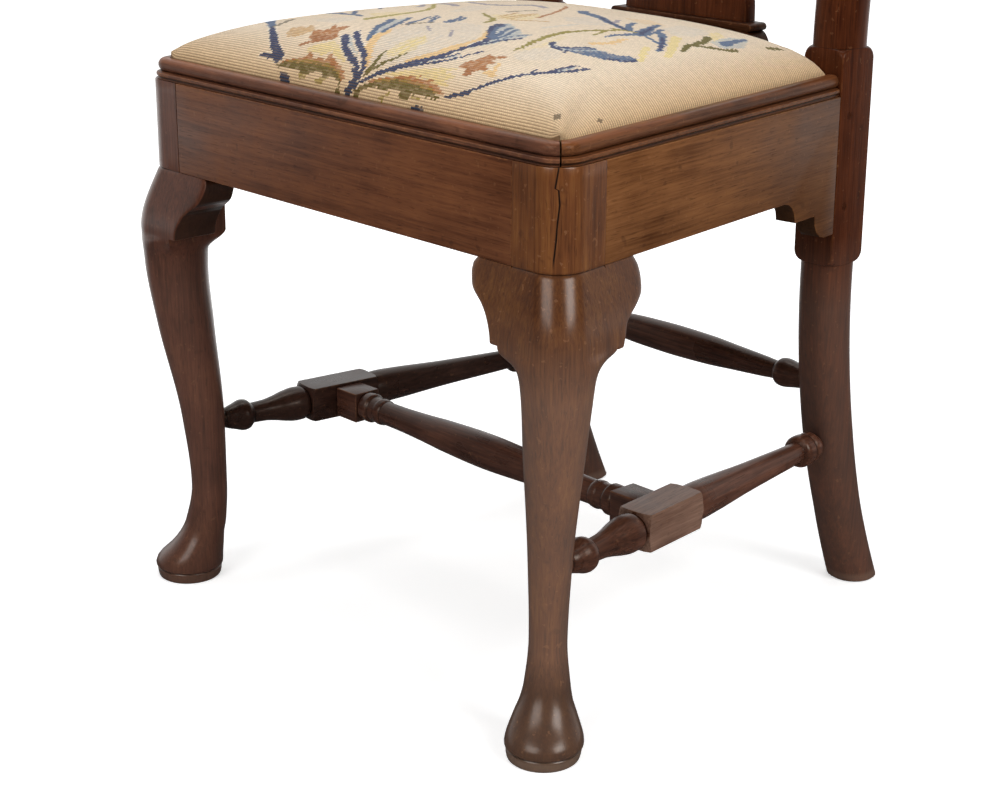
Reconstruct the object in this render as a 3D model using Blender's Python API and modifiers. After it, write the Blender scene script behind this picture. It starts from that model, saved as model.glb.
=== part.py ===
"""Side chair with cabriole front legs, turned stretchers and a drop-in seat.

Metres, +Z up, the front faces -Y. Every piece is modelled where it sits in the chair, measured from
the middle of the front rail's face at floor level. Right-hand pieces are modelled and then mirrored.
At the end one empty carries the whole chair so that its box stands centred on the world origin.
"""
import math

import bmesh
import bpy
import numpy as np
from mathutils import Matrix, Vector

# Gap left between pieces that touch
FIT = 0.0003

# Seat frame
FRONT_WIDTH = 0.4725
SIDE_TAPER = math.radians(8.73)
SIDE_LENGTH = 0.348
RAIL_TOP = 0.420
RAIL_HEIGHT = 0.070
RAIL_THICK = 0.028
REAR_RAIL_THICK = 0.031
TENON_THICK = 0.010
TENON_LENGTH = 0.025
TENON_SHOULDER = 0.010
SIDE_REAR_TENON = 0.021
REAR_TENON_LENGTH = 0.013

# Shaped drop of the side rail in front of the rear post, below the rail's straight edge
DROP_HEIGHT = 0.0363
DROP_STEP = 0.0170
DROP_LENGTH = 0.0745

# Rim moulding around the seat
MOULDING_HEIGHT = 0.0175
MOULDING_DEPTH = 0.0125

# Front legs
POST_FRONT = 0.0457
POST_SIDE = 0.0485
POST_CORNER_RADIUS = 0.021
FOOT_IN = 0.0201
FOOT_BACK = 0.010
KNEE_START = 0.857
KNEE_FULL = 0.852
INNER_CORNER_LOW = 0.806
INNER_CORNER_HIGH = 0.850
# Along the leg: share of its height, lean out along the diagonal, shift across it, half depth, half width
LEG_STATIONS = (
    (0.000, 0.0000, 0.0000, 0.0255, 0.0255),
    (0.035, 0.0000, 0.0005, 0.0280, 0.0280),
    (0.085, -0.0080, 0.0015, 0.0225, 0.0240),
    (0.140, -0.0150, 0.0030, 0.0170, 0.0165),
    (0.230, -0.0190, 0.0035, 0.0147, 0.0136),
    (0.400, -0.0160, 0.0040, 0.0175, 0.0155),
    (0.630, -0.0045, 0.0050, 0.0230, 0.0210),
    (0.780, 0.0010, 0.0060, 0.0255, 0.0250),
    (0.810, 0.0010, 0.0060, 0.0261, 0.0273),
    (0.830, 0.0010, 0.0060, 0.0266, 0.0308),
    (0.842, 0.0009, 0.0060, 0.0268, 0.0355),
    (0.853, 0.0008, 0.0060, 0.0271, 0.0394),
    (0.870, 0.0005, 0.0060, 0.0274, 0.0405),
    (1.000, -0.0060, 0.0060, 0.0274, 0.0420),
)

# Knee brackets: reach along the rail, drop below it, thickness behind its face
BRACKET_FRONT = (0.0350, 0.0520, 0.0220)
BRACKET_SIDE = (0.0405, 0.0565, 0.0120)
BRACKET_EDGE = 0.0010
# Lower outline of a bracket, from its foot up: share of its reach, share of its drop
BRACKET_OUTLINE = (
    (0.27, 1.000),
    (0.29, 0.950),
    (0.34, 0.865),
    (0.45, 0.740),
    (0.57, 0.645),
    (0.71, 0.567),
    (0.83, 0.490),
    (0.93, 0.385),
    (1.00, 0.220),
    (0.98, 0.106),
    (0.97, 0.006),
)

# Rear posts and legs
REAR_POST_SIZE = 0.0376
BLOCK_BELOW = 0.064
BLOCK_ABOVE = 0.030
BLOCK_EASE = 0.010
POST_ROUND_UPPER = 0.0135
POST_ROUND_LOWER = 0.0160
POST_ARRIS = 0.0010
REAR_FOOT_BACK = 0.064
REAR_FOOT_IN = 0.0046
REAR_FOOT_HALF = 0.0200
BACK_RAKE = 0.070
POST_TOP = 0.935
POST_TENON = 0.022
PEG_RADIUS = 0.0036
PEG_LENGTH = 0.026
PEG_BEHIND_JOINT = 0.012
PEG_UPPER_DROP = 0.016
PEG_LOWER_DROP = 0.086

# Back: shoe, splat and crest
SHOE_HEIGHT = 0.040
SHOE_BAND = 0.3
SHOE_BEAD = 0.009
SHOE_HALF = 0.0745
SHOE_FLARE = 0.0085
SHOE_QUIRK = 0.0040
SPLAT_THICK = 0.011
SPLAT_TENON = 0.012
# Splat outline: share of its height above the shoe, half width
SPLAT_STATIONS = (
    (0.00, 0.0645),
    (0.03, 0.0570),
    (0.08, 0.0440),
    (0.15, 0.0340),
    (0.22, 0.0320),
    (0.30, 0.0400),
    (0.42, 0.0600),
    (0.54, 0.0740),
    (0.62, 0.0745),
    (0.69, 0.0640),
    (0.76, 0.0470),
    (0.83, 0.0385),
    (0.90, 0.0410),
    (1.00, 0.0580),
)
CREST_HALF = 0.188
CREST_THICK = 0.026
# Crest outline: share of its half length, lower edge below and upper edge above the post tops
CREST_STATIONS = (
    (0.00, 0.000, 0.0700),
    (0.14, 0.000, 0.0680),
    (0.30, -0.004, 0.0560),
    (0.48, -0.014, 0.0440),
    (0.64, -0.012, 0.0440),
    (0.78, -0.003, 0.0490),
    (0.90, 0.000, 0.0450),
    (0.97, 0.000, 0.0300),
    (1.00, -0.004, 0.0140),
)

# Stretchers
STRETCHER_HEIGHT = 0.1337
SIDE_BLOCK_HALF = 0.0145
SIDE_BLOCK_LENGTH = 0.066
SIDE_BLOCK_AT = 0.129
MEDIAL_BLOCK_HALF = 0.0125
MEDIAL_BLOCK_END = 0.150
BLOCK_TURNED_END = 0.006
ROUND_TENON = 0.0070
ROUND_TENON_DEPTH = 0.012
REAR_STRETCHER_HEIGHT = 0.1822
TURNING_STEPS = 16
# Side stretcher turnings: distance from the front leg's middle, radius
SIDE_TURNING_FRONT = (
    (0.019, 0.0079),
    (0.028, 0.0110),
    (0.0355, 0.0131),
    (0.0390, 0.0126),
    (0.0420, 0.0104),
    (0.0440, 0.0086),
    (0.0560, 0.0090),
    (0.0660, 0.0106),
    (0.0760, 0.0130),
    (0.0855, 0.0144),
    (0.0915, 0.0142),
    (0.0945, 0.0125),
    (0.0960, 0.0112),
)
# The same behind the block: distance from the rear leg's middle, radius
SIDE_TURNING_REAR = (
    (0.2010, 0.0120),
    (0.1975, 0.0140),
    (0.1880, 0.0145),
    (0.1730, 0.0140),
    (0.1230, 0.0112),
    (0.0630, 0.0090),
    (0.0490, 0.0085),
    (0.0475, 0.0118),
    (0.0440, 0.0131),
    (0.0390, 0.0131),
    (0.0350, 0.0112),
    (0.0325, 0.0124),
    (0.0285, 0.0122),
    (0.0265, 0.0098),
    (0.0215, 0.0080),
)
# Medial stretcher: distance from the block's inner end, radius
MEDIAL_TURNING = (
    (0.0000, 0.0105),
    (0.0030, 0.0122),
    (0.0090, 0.0124),
    (0.0120, 0.0104),
    (0.0180, 0.0104),
    (0.0210, 0.0112),
    (0.0250, 0.0108),
    (0.0270, 0.0098),
    (0.0450, 0.0100),
    (0.0750, 0.0112),
    (0.1050, 0.0130),
)
MEDIAL_MIDDLE = 0.0143
# Rear stretcher: distance from the rear leg's middle, radius
REAR_TURNING = (
    (0.0200, 0.0083),
    (0.0300, 0.0103),
    (0.0400, 0.0119),
    (0.0440, 0.0115),
    (0.0475, 0.0092),
    (0.0490, 0.0076),
    (0.0630, 0.0086),
    (0.0950, 0.0106),
    (0.1250, 0.0124),
)
REAR_MIDDLE = 0.0131

# Drop-in seat
SEAT_GAP = 0.0008
SEAT_BEARING = 0.008
COVER_THICK = 0.0012
COVER_TUCK = 0.011
COVER_EDGE = 0.014
CROWN = 0.0405
CROWN_POWER = 3.0
CROWN_FULLNESS = 0.45
CORNER_PULL = 0.02
SLIP_RAIL_THICK = 0.0122
SLIP_RAIL_WIDTH = 0.045
SLIP_CORNER = 0.018
NOTCH_GAP = 0.001
WEB_WIDTH = 0.050
WEB_THICK = 0.0012
WEB_WAVE = 0.0008
WEB_COUNT = 3
SACKCLOTH_THICK = 0.0008
STUFFING_GAP = 0.0005
CROWN_COLUMNS = 18
CROWN_ROWS = 16

# Sizes that follow from the ones above
HALF_FRONT = FRONT_WIDTH / 2
RAIL_LOW = RAIL_TOP - RAIL_HEIGHT
SIN_T, COS_T = math.sin(SIDE_TAPER), math.cos(SIDE_TAPER)
SIDE_FRAME = Matrix((
    (-SIN_T, -COS_T, 0, HALF_FRONT),
    (COS_T, -SIN_T, 0, 0),
    (0, 0, 1, 0),
    (0, 0, 0, 1),
))
DIAGONAL = Vector((COS_T, SIN_T - 1, 0)).normalized()
ACROSS = Vector((-DIAGONAL.y, DIAGONAL.x, 0))
FOOT = Vector((HALF_FRONT - FOOT_IN, FOOT_BACK, 0))
GLUE_FRONT_X = HALF_FRONT - POST_FRONT
POST_FACE_X = HALF_FRONT - SIDE_LENGTH * SIN_T
POST_FACE_Y = SIDE_LENGTH * COS_T
POST_MID = Vector((POST_FACE_X - REAR_POST_SIZE / 2, POST_FACE_Y + REAR_POST_SIZE / 2, 0))
POST_INNER_X = POST_FACE_X - REAR_POST_SIZE
BLOCK_LOW = RAIL_LOW - BLOCK_BELOW
BLOCK_HIGH = RAIL_TOP + BLOCK_ABOVE
REAR_RAIL_BACK = POST_FACE_Y + REAR_POST_SIZE
REAR_RAIL_FRONT = REAR_RAIL_BACK - REAR_RAIL_THICK
SEAT_BACK = REAR_RAIL_FRONT + SEAT_BEARING
SEAT_INSET = MOULDING_DEPTH + SEAT_GAP
SEAT_FLOOR = RAIL_TOP + FIT
SLIP_LOW = SEAT_FLOOR + COVER_THICK + FIT
SHOE_TOP = RAIL_TOP + SHOE_HEIGHT
SLIP_TOP = SLIP_LOW + SLIP_RAIL_THICK
SLIP_INSET = SEAT_INSET + COVER_THICK + 5 * FIT
SPLAT_MID_Y = REAR_RAIL_BACK - 0.44 * (REAR_RAIL_BACK - SEAT_BACK)
SIDES = ((1, "right"), (-1, "left"))
TENON_IN = RAIL_THICK / 2


def clear_scene():
    """Start from an empty scene."""
    for thing in list(bpy.data.objects):
        bpy.data.objects.remove(thing, do_unlink=True)


def make_collection(name):
    """A collection linked to the scene."""
    group = bpy.data.collections.new(name)
    bpy.context.scene.collection.children.link(group)
    return group


def add_empty(name, parent=None):
    """An empty that carries other pieces."""
    holder = bpy.data.objects.new(name, None)
    PARTS.objects.link(holder)
    holder.parent = parent
    return holder


def finish(name, colour, roughness):
    """The piece's own surface: colour and roughness on a Principled shader."""
    material = bpy.data.materials.new(name)
    material.use_nodes = True
    shader = material.node_tree.nodes["Principled BSDF"]
    shader.inputs["Base Color"].default_value = (*colour, 1)
    shader.inputs["Roughness"].default_value = roughness
    shader.inputs["Metallic"].default_value = 0
    return material


def handed(mesh, side):
    """Mirror a right-hand mesh for the left side of the chair."""
    if side < 0:
        mesh.transform(Matrix.Scale(-1, 4, (1, 0, 0)))
        mesh.flip_normals()
    return mesh


def add_part(name, mesh, look, side=1, parent=None):
    """Put a piece in the chair, with its own material and smooth round faces."""
    mesh = handed(mesh, side)
    mesh.name = name
    piece = bpy.data.objects.new(name, mesh)
    PARTS.objects.link(piece)
    piece.parent = parent or ROOT
    piece.data.materials.append(finish(name + "_finish", *look))
    mesh.shade_smooth()
    mesh.set_sharp_from_angle(angle=math.radians(35))
    return piece


def add_cutter(name, mesh, side=1):
    """A shape that cuts or joins other pieces, and isn't a piece itself."""
    cutter = bpy.data.objects.new(name, handed(mesh, side))
    CUTTERS.objects.link(cutter)
    cutter.parent = ROOT
    cutter.hide_render = True
    cutter.display_type = "WIRE"
    return cutter


def combine(piece, cutter, operation="DIFFERENCE"):
    """Cut a piece by another shape, or join the two."""
    step = piece.modifiers.new(cutter.name, "BOOLEAN")
    step.operation = operation
    step.solver = "EXACT"
    step.object = cutter


def mesh_from(bm):
    """Turn a bmesh into a mesh whose faces point outwards."""
    bmesh.ops.recalc_face_normals(bm, faces=bm.faces)
    mesh = bpy.data.meshes.new("piece")
    bm.to_mesh(mesh)
    bm.free()
    return mesh


def box(low, high, place=Matrix()):
    """A block between two corners."""
    bm = bmesh.new()
    low, high = Vector(low), Vector(high)
    size = Matrix.Diagonal((*(high - low), 1))
    bmesh.ops.create_cube(bm, size=1, matrix=place @ Matrix.Translation((low + high) / 2) @ size)
    return mesh_from(bm)


def plate(outline, low, high, place=Matrix()):
    """A flat outline with a thickness: a filled curve, extruded and made a mesh."""
    curve = bpy.data.curves.new("outline", "CURVE")
    curve.dimensions = "2D"
    curve.fill_mode = "BOTH"
    curve.extrude = (high - low) / 2
    spline = curve.splines.new("POLY")
    spline.points.add(len(outline) - 1)
    for point, (x, y) in zip(spline.points, outline):
        point.co = (x, y, 0, 1)
    spline.use_cyclic_u = True
    holder = bpy.data.objects.new("outline", curve)
    bpy.context.scene.collection.objects.link(holder)
    graph = bpy.context.evaluated_depsgraph_get()
    raw = bpy.data.meshes.new_from_object(holder.evaluated_get(graph))
    bpy.data.objects.remove(holder, do_unlink=True)
    bm = bmesh.new()
    bm.from_mesh(raw)
    bpy.data.meshes.remove(raw)
    bmesh.ops.remove_doubles(bm, verts=bm.verts, dist=1e-6)
    bm.transform(place @ Matrix.Translation((0, 0, (low + high) / 2)))
    return mesh_from(bm)


def sliced(mesh, point, normal):
    """Saw a mesh through by a plane and keep the side that the normal points away from."""
    bm = bmesh.new()
    bm.from_mesh(mesh)
    everything = bm.verts[:] + bm.edges[:] + bm.faces[:]
    cut = bmesh.ops.bisect_plane(bm, geom=everything, plane_co=point, plane_no=normal, clear_outer=True)
    rim = [edge for edge in cut["geom_cut"] if isinstance(edge, bmesh.types.BMEdge)]
    bmesh.ops.contextual_create(bm, geom=rim)
    return mesh_from(bm)


def loft(rings):
    """Skin a row of rings of equal count, and close both ends."""
    bm = bmesh.new()
    rows = [[bm.verts.new(point) for point in ring] for ring in rings]
    count = len(rows[0])
    for lower, upper in zip(rows, rows[1:]):
        for i in range(count):
            j = (i + 1) % count
            bm.faces.new((lower[i], lower[j], upper[j], upper[i]))
    bm.faces.new(rows[0])
    bm.faces.new(rows[-1])
    return mesh_from(bm)


def turned(profile, place):
    """A turned solid: a profile of (distance along the axis, radius) spun by a Screw modifier."""
    path = [(0, profile[-1][0])] + [(radius, at) for at, radius in reversed(profile)] + [(0, profile[0][0])]
    mesh = bpy.data.meshes.new("profile")
    mesh.from_pydata([(radius, 0, at) for radius, at in path], [(i, i + 1) for i in range(len(path) - 1)], [])
    holder = bpy.data.objects.new("profile", mesh)
    bpy.context.scene.collection.objects.link(holder)
    spin = holder.modifiers.new("spin", "SCREW")
    spin.axis = "Z"
    spin.steps = TURNING_STEPS
    spin.render_steps = TURNING_STEPS
    spin.use_merge_vertices = True
    spin.merge_threshold = 0.00001
    graph = bpy.context.evaluated_depsgraph_get()
    solid = bpy.data.meshes.new_from_object(holder.evaluated_get(graph))
    bpy.data.objects.remove(holder, do_unlink=True)
    solid.transform(place)
    return solid


def along(start, end):
    """A place whose Z runs from one point towards another, with its Y upright."""
    way = (end - start).normalized()
    up = Vector((0, 0, 1))
    return Matrix.Translation(start) @ Matrix((up.cross(way), up, way)).transposed().to_4x4()


def smooth(rows):
    """A smooth curve through rows of (position, values...) that doesn't overshoot them."""
    table = np.array(rows, dtype=float)
    x, values = table[:, 0], table[:, 1:]
    step = np.diff(x)[:, None]
    rise = np.diff(values, axis=0) / step
    slope = np.zeros_like(values)
    slope[0], slope[-1] = rise[0], rise[-1]
    before, after = rise[:-1], rise[1:]
    total = np.where(before + after == 0, 1, before + after)
    slope[1:-1] = np.where(before * after > 0, 2 * before * after / total, 0)

    def read(at):
        k = int(np.clip(np.searchsorted(x, at, side="right") - 1, 0, len(x) - 2))
        t = (at - x[k]) / step[k, 0]
        curve = (1 + 2 * t) * (1 - t) ** 2 * values[k] + t * t * (3 - 2 * t) * values[k + 1]
        bend = t * (1 - t) ** 2 * slope[k] - t * t * (1 - t) * slope[k + 1]
        return curve + bend * step[k, 0]

    return read


def between(marks, steps):
    """Every mark, with the same number of even steps between neighbours."""
    spots = [a + (b - a) * i / steps for a, b in zip(marks, marks[1:]) for i in range(steps)]
    return spots + [marks[-1]]


def reach_to_line(origin, way, point, normal):
    """How far from the origin a plane is met, or a long way if it isn't."""
    rate = way.dot(normal)
    if rate < 1e-9:
        return 1.0
    return (point - origin).dot(normal) / rate


def side_point(distance, inward, height=0.0):
    """A point on the right side: distance from the front corner, distance in from the face, height."""
    return SIDE_FRAME @ Vector((distance, inward, height))


LEG_CURVE = smooth(LEG_STATIONS)
FRONT_CORNER = Vector((HALF_FRONT, 0, 0))
SIDE_NORMAL = Vector((COS_T, SIN_T, 0))
FRONT_NORMAL = Vector((0, -1, 0))
GLUE_FRONT = (Vector((GLUE_FRONT_X, 0, 0)), Vector((-1, 0, 0)))
GLUE_SIDE = (side_point(POST_SIDE, 0), Vector((-SIN_T, COS_T, 0)))
HALF_CORNER = (math.pi / 2 - SIDE_TAPER) / 2
CORNER_MID = FRONT_CORNER - DIAGONAL * POST_CORNER_RADIUS / math.sin(HALF_CORNER)
POST_INNER = Vector((GLUE_FRONT_X, (POST_SIDE - POST_FRONT * SIN_T) / COS_T, 0))


def post_reach(origin, way):
    """Distance from inside the front post to its face, with the outer corner rounded."""
    faces = ((FRONT_CORNER, FRONT_NORMAL), (FRONT_CORNER, SIDE_NORMAL), GLUE_FRONT, GLUE_SIDE)
    flat = min(reach_to_line(origin, way, *face) for face in faces)
    corner = origin + way * flat - CORNER_MID
    past_front = corner.dot(FRONT_NORMAL.cross(Vector((0, 0, -1)))) > 0
    past_side = corner.dot(SIDE_NORMAL.cross(Vector((0, 0, 1)))) > 0
    if not (past_front and past_side):
        return flat
    offset = origin - CORNER_MID
    half = offset.dot(way)
    inside = half * half - offset.length_squared + POST_CORNER_RADIUS ** 2
    return -half + math.sqrt(inside) if inside > 0 else flat


def leg_centre(share):
    """The middle of the right leg's section at a share of its height."""
    lean, shift = LEG_CURVE(share)[:2]
    return FOOT + DIAGONAL * lean + ACROSS * shift + Vector((0, 0, share * RAIL_LOW))


def leg_reach(share, angle, clipped=True):
    """Distance from the leg's middle to its surface, turning from the outward diagonal."""
    depth, width = LEG_CURVE(share)[2:]
    centre = leg_centre(share)
    centre.z = 0
    way = DIAGONAL * math.cos(angle) + ACROSS * math.sin(angle)
    reach = 1 / math.hypot(math.cos(angle) / depth, math.sin(angle) / width)
    front = max(0.0, (share - KNEE_START) / (1 - KNEE_START)) ** 2.2
    rise = min(max((share - INNER_CORNER_LOW) / (INNER_CORNER_HIGH - INNER_CORNER_LOW), 0), 1)
    turn = min(max((abs(math.remainder(angle, 2 * math.pi)) - 1.9) / 0.5, 0), 1)
    blend = front + (max(rise * rise, front) - front) * turn
    if blend > 0:
        reach = reach * (1 - blend) + blend * post_reach(centre, way)
    if clipped and share > 0.7:
        reach = min(reach, *(reach_to_line(centre, way, *face) for face in (GLUE_FRONT, GLUE_SIDE)))
    return reach


def glue_edge(share, face, turn):
    """The angle at which the knee's round front meets a bracket's flat seat."""
    centre = leg_centre(share)
    centre.z = 0
    for degrees in np.arange(60.0, 140.0, 0.5):
        angle = turn * math.radians(degrees)
        way = DIAGONAL * math.cos(angle) + ACROSS * math.sin(angle)
        if reach_to_line(centre, way, *face) <= leg_reach(share, angle, clipped=False) + 1e-7:
            return angle
    return turn * math.radians(140)


def leg_ring(share, front_count, back_count):
    """One ring of points around the right leg."""
    centre = leg_centre(share)
    first = glue_edge(share, GLUE_FRONT, -1)
    last = glue_edge(share, GLUE_SIDE, 1)
    to_corner = POST_INNER - centre
    corner = math.atan2(to_corner.dot(ACROSS), to_corner.dot(DIAGONAL)) % (2 * math.pi)
    angles = list(np.linspace(first, last, front_count))
    angles += list(np.linspace(last, corner, back_count + 1))[1:]
    angles += list(np.linspace(corner, first + 2 * math.pi, back_count + 1))[1:-1]
    ring = []
    for angle in angles:
        way = DIAGONAL * math.cos(angle) + ACROSS * math.sin(angle)
        ring.append(centre + way * leg_reach(share, angle))
    return ring


def front_leg_mesh():
    """Cabriole leg with its square post, pad foot and rounded knee, in one piece."""
    marks = [row[0] for row in LEG_STATIONS]
    shares = between(marks[:-1], 2) + between(marks[-2:], 5)[1:]
    rings = [leg_ring(share, 15, 3) for share in shares]
    rings.append([point + Vector((0, 0, RAIL_HEIGHT)) for point in rings[-1]])
    return loft(rings)


def bracket_mesh(sizes, face, turn, outward):
    """Knee bracket: flat against leg and rail, its face swelling out to meet the knee."""
    reach, depth, thick = sizes
    seat_edge, rail_way = face
    rows = []
    for share, drop in BRACKET_OUTLINE:
        height = RAIL_LOW - drop * depth
        leg_share = max(height / RAIL_LOW, KNEE_FULL)
        angle = glue_edge(leg_share, face, turn)
        way = DIAGONAL * math.cos(angle) + ACROSS * math.sin(angle)
        knee = leg_centre(leg_share) + way * leg_reach(leg_share, angle)
        bulge = (knee - seat_edge).dot(outward)
        width = share * reach
        ring = [(0.0, -thick), (width, -thick)]
        for spot in (1.0, 0.94, 0.82, 0.65, 0.45, 0.25, 0.1, 0.0):
            ease = 1 - 0.15 * spot * spot
            ring.append((spot * width, bulge * ease - BRACKET_EDGE * spot ** 12))
        place = seat_edge + rail_way * FIT + Vector((0, 0, height - FIT))
        rows.append([place + rail_way * u + outward * w for u, w in ring])
    return loft(rows)


def build_front_legs():
    """Legs, their knee brackets and the mortises for the rails."""
    stretcher_start, stretcher_end = side_stretcher_ends()
    for side, label in SIDES:
        leg = add_part("front_leg_" + label, front_leg_mesh(), WALNUT_LEG, side)
        combine(leg, add_cutter("front_mortise_" + label, front_tenon(FIT), side))
        combine(leg, add_cutter("side_mortise_" + label, side_front_tenon(FIT), side))
        hole = turned(((-ROUND_TENON_DEPTH, ROUND_TENON + FIT), (0.03, ROUND_TENON + FIT)),
                      along(stretcher_start, stretcher_end))
        combine(leg, add_cutter("leg_socket_" + label, hole, side))
        front = bracket_mesh(BRACKET_FRONT, GLUE_FRONT, -1, FRONT_NORMAL)
        add_part("knee_bracket_front_" + label, front, WALNUT_LEG, side)
        turn = bracket_mesh(BRACKET_SIDE, GLUE_SIDE, 1, SIDE_NORMAL)
        add_part("knee_bracket_side_" + label, turn, WALNUT_LEG, side)


def tenon_heights(low, grow):
    """Bottom and top of a rail tenon between its shoulders."""
    return low + TENON_SHOULDER - grow, RAIL_TOP - TENON_SHOULDER + grow


def front_tenon(grow):
    """The front rail's tenon, or its mortise when grown."""
    low, high = tenon_heights(RAIL_LOW, grow)
    start, end = GLUE_FRONT_X - TENON_LENGTH, GLUE_FRONT_X + TENON_LENGTH + grow
    half = TENON_THICK / 2 + grow
    return box((start, TENON_IN - half, low), (end, TENON_IN + half, high))


def side_front_tenon(grow):
    """The side rail's front tenon, or its mortise when grown."""
    low, high = tenon_heights(RAIL_LOW, grow)
    half = TENON_THICK / 2 + grow
    start, end = POST_SIDE - TENON_LENGTH - grow, POST_SIDE + TENON_LENGTH
    return box((start, TENON_IN - half, low), (end, TENON_IN + half, high), SIDE_FRAME)


def side_rear_tenon(grow):
    """The side rail's rear tenon, as tall as the shaped drop, or its mortise when grown."""
    low, high = tenon_heights(RAIL_LOW - DROP_HEIGHT, grow)
    half = TENON_THICK / 2 + grow
    start, end = SIDE_LENGTH - TENON_LENGTH, SIDE_LENGTH + SIDE_REAR_TENON + grow
    return box((start, TENON_IN - half, low), (end, TENON_IN + half, high), SIDE_FRAME)


def rear_tenon(grow):
    """The rear rail's tenon, or its mortise when grown."""
    low, high = tenon_heights(RAIL_LOW, grow)
    half = TENON_THICK / 2 + grow
    middle = (REAR_RAIL_FRONT + REAR_RAIL_BACK) / 2
    start, end = POST_INNER_X - TENON_LENGTH, POST_INNER_X + REAR_TENON_LENGTH + grow
    return box((start, middle - half, low), (end, middle + half, high))


def side_rail_outline():
    """Side of the seat rail: straight, with a stepped and hollowed drop before the rear post."""
    end = SIDE_LENGTH + RAIL_THICK
    start = SIDE_LENGTH - DROP_LENGTH
    step = RAIL_LOW - DROP_STEP
    foot = RAIL_LOW - DROP_HEIGHT
    hollow = DROP_LENGTH * 0.22
    turn = DROP_LENGTH * 0.60
    points = [(POST_SIDE + FIT, RAIL_TOP - FIT), (POST_SIDE + FIT, RAIL_LOW)]
    for i in range(5):
        angle = i / 4 * math.pi / 2
        points.append((start + hollow * math.sin(angle), RAIL_LOW - DROP_STEP * (1 - math.cos(angle))))
    for i in range(5):
        angle = i / 4 * math.pi / 2
        drop = step - foot
        points.append((start + turn + hollow * (1 - math.cos(angle)), step - drop * math.sin(angle)))
    points += [(end, foot), (end, RAIL_TOP - FIT)]
    return points


def peg_place(drop):
    """Where a peg enters the rear post's outer face, and the way it runs."""
    start = Vector((POST_FACE_X, POST_FACE_Y + PEG_BEHIND_JOINT, RAIL_TOP - drop))
    return along(start, start - Vector((1, 0, 0)))


def build_seat_rails():
    """The four rails of the seat frame, with tenons that fill their mortises."""
    half = GLUE_FRONT_X - FIT
    body = box((-half, 0, RAIL_LOW), (half, RAIL_THICK, RAIL_TOP - FIT))
    front = add_part("seat_rail_front", body, WALNUT_RAIL)
    rear_half = POST_INNER_X - FIT
    rear_low, rear_high = (-rear_half, REAR_RAIL_FRONT, RAIL_LOW), (rear_half, REAR_RAIL_BACK, RAIL_TOP - FIT)
    rear = add_part("seat_rail_rear", box(rear_low, rear_high), WALNUT_RAIL)
    upright = SIDE_FRAME @ Matrix(((1, 0, 0, 0), (0, 0, -1, 0), (0, 1, 0, 0), (0, 0, 0, 1)))
    for side, label in SIDES:
        combine(front, add_cutter("front_tenon_" + label, front_tenon(0), side), "UNION")
        combine(rear, add_cutter("rear_tenon_" + label, rear_tenon(0), side), "UNION")
        body = plate(side_rail_outline(), -RAIL_THICK, 0, upright)
        body = sliced(body, (0, POST_FACE_Y - FIT, 0), (0, 1, 0))
        rail = add_part("seat_rail_" + label, body, WALNUT_RAIL, side)
        combine(rail, add_cutter("side_front_tenon_" + label, side_front_tenon(0), side), "UNION")
        combine(rail, add_cutter("side_rear_tenon_" + label, side_rear_tenon(0), side), "UNION")
        for level, drop in (("upper", PEG_UPPER_DROP), ("lower", PEG_LOWER_DROP)):
            hole = turned(((-0.004, PEG_RADIUS + FIT), (PEG_LENGTH + FIT, PEG_RADIUS + FIT)), peg_place(drop))
            cutter = add_cutter("peg_hole_%s_%s" % (level, label), hole, side)
            combine(rail, cutter)
            peg = turned(((0.0, PEG_RADIUS), (PEG_LENGTH, PEG_RADIUS)), peg_place(drop))
            add_part("rail_peg_%s_%s" % (level, label), peg, WALNUT_DARK, side)


def moulding_profile():
    """Rim moulding section as (distance in from the rail's face, height above the rail)."""
    top, depth = MOULDING_HEIGHT, MOULDING_DEPTH
    points = [(0.0006, FIT), (0.0014, 0.0020), (0.0026, 0.0032), (0.0020, 0.0046), (0.0022, 0.0064)]
    points += [(0.0042, 0.0074), (0.0034, 0.0086)]
    radius = 0.0046
    for i in range(4):
        angle = i / 3 * math.pi / 2
        points.append((0.0034 + radius * (1 - math.cos(angle)), top - radius * (1 - math.sin(angle))))
    points += [(depth, top), (depth, FIT)]
    return points


def corner_section(angle, mitre_gap):
    """The rim moulding's section part-way round the front corner, turned from the front face."""
    way = Vector((math.sin(angle), -math.cos(angle), 0))
    ring = []
    for inset, height in moulding_profile():
        spot = CORNER_MID + way * (POST_CORNER_RADIUS - inset)
        ring.append(spot + mitre_gap + Vector((0, 0, RAIL_TOP + height)))
    return ring


def build_rim_moulding():
    """Three mouldings on top of the rails, following the round corners and mitred on the diagonal."""
    middle = math.pi / 2 - HALF_CORNER
    full = math.pi - 2 * HALF_CORNER
    still = Vector((0, 0, 0))
    turns = [i / 4 for i in range(5)]
    front_end = [corner_section(middle * t, still) for t in turns]
    front_end[-1] = corner_section(middle, -ACROSS * FIT)
    mirrored = [[Vector((-point.x, point.y, point.z)) for point in ring] for ring in front_end]
    add_part("rim_moulding_front", loft(mirrored[::-1] + front_end), WALNUT_RIM)
    side_end = [corner_section(middle + (full - middle) * t, still) for t in turns]
    side_end[0] = corner_section(middle, ACROSS * FIT)
    rear = []
    for inset, height in moulding_profile():
        end = (POST_FACE_Y - FIT + inset * SIN_T) / COS_T
        rear.append(side_point(end, inset, RAIL_TOP + height))
    for side, label in SIDES:
        add_part("rim_moulding_" + label, loft(side_end + [rear]), WALNUT_RIM, side)


def rounded_square(centre, half, corner):
    """A square ring of points with rounded corners."""
    corner = min(corner, half)
    flat = half - corner
    ring = []
    for sx, sy, start in ((1, 1, 0), (-1, 1, 90), (-1, -1, 180), (1, -1, 270)):
        for i in range(4):
            angle = math.radians(start + 30 * i)
            spot = Vector((sx * flat + corner * math.cos(angle), sy * flat + corner * math.sin(angle), 0))
            ring.append(centre + spot)
    return ring


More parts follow.
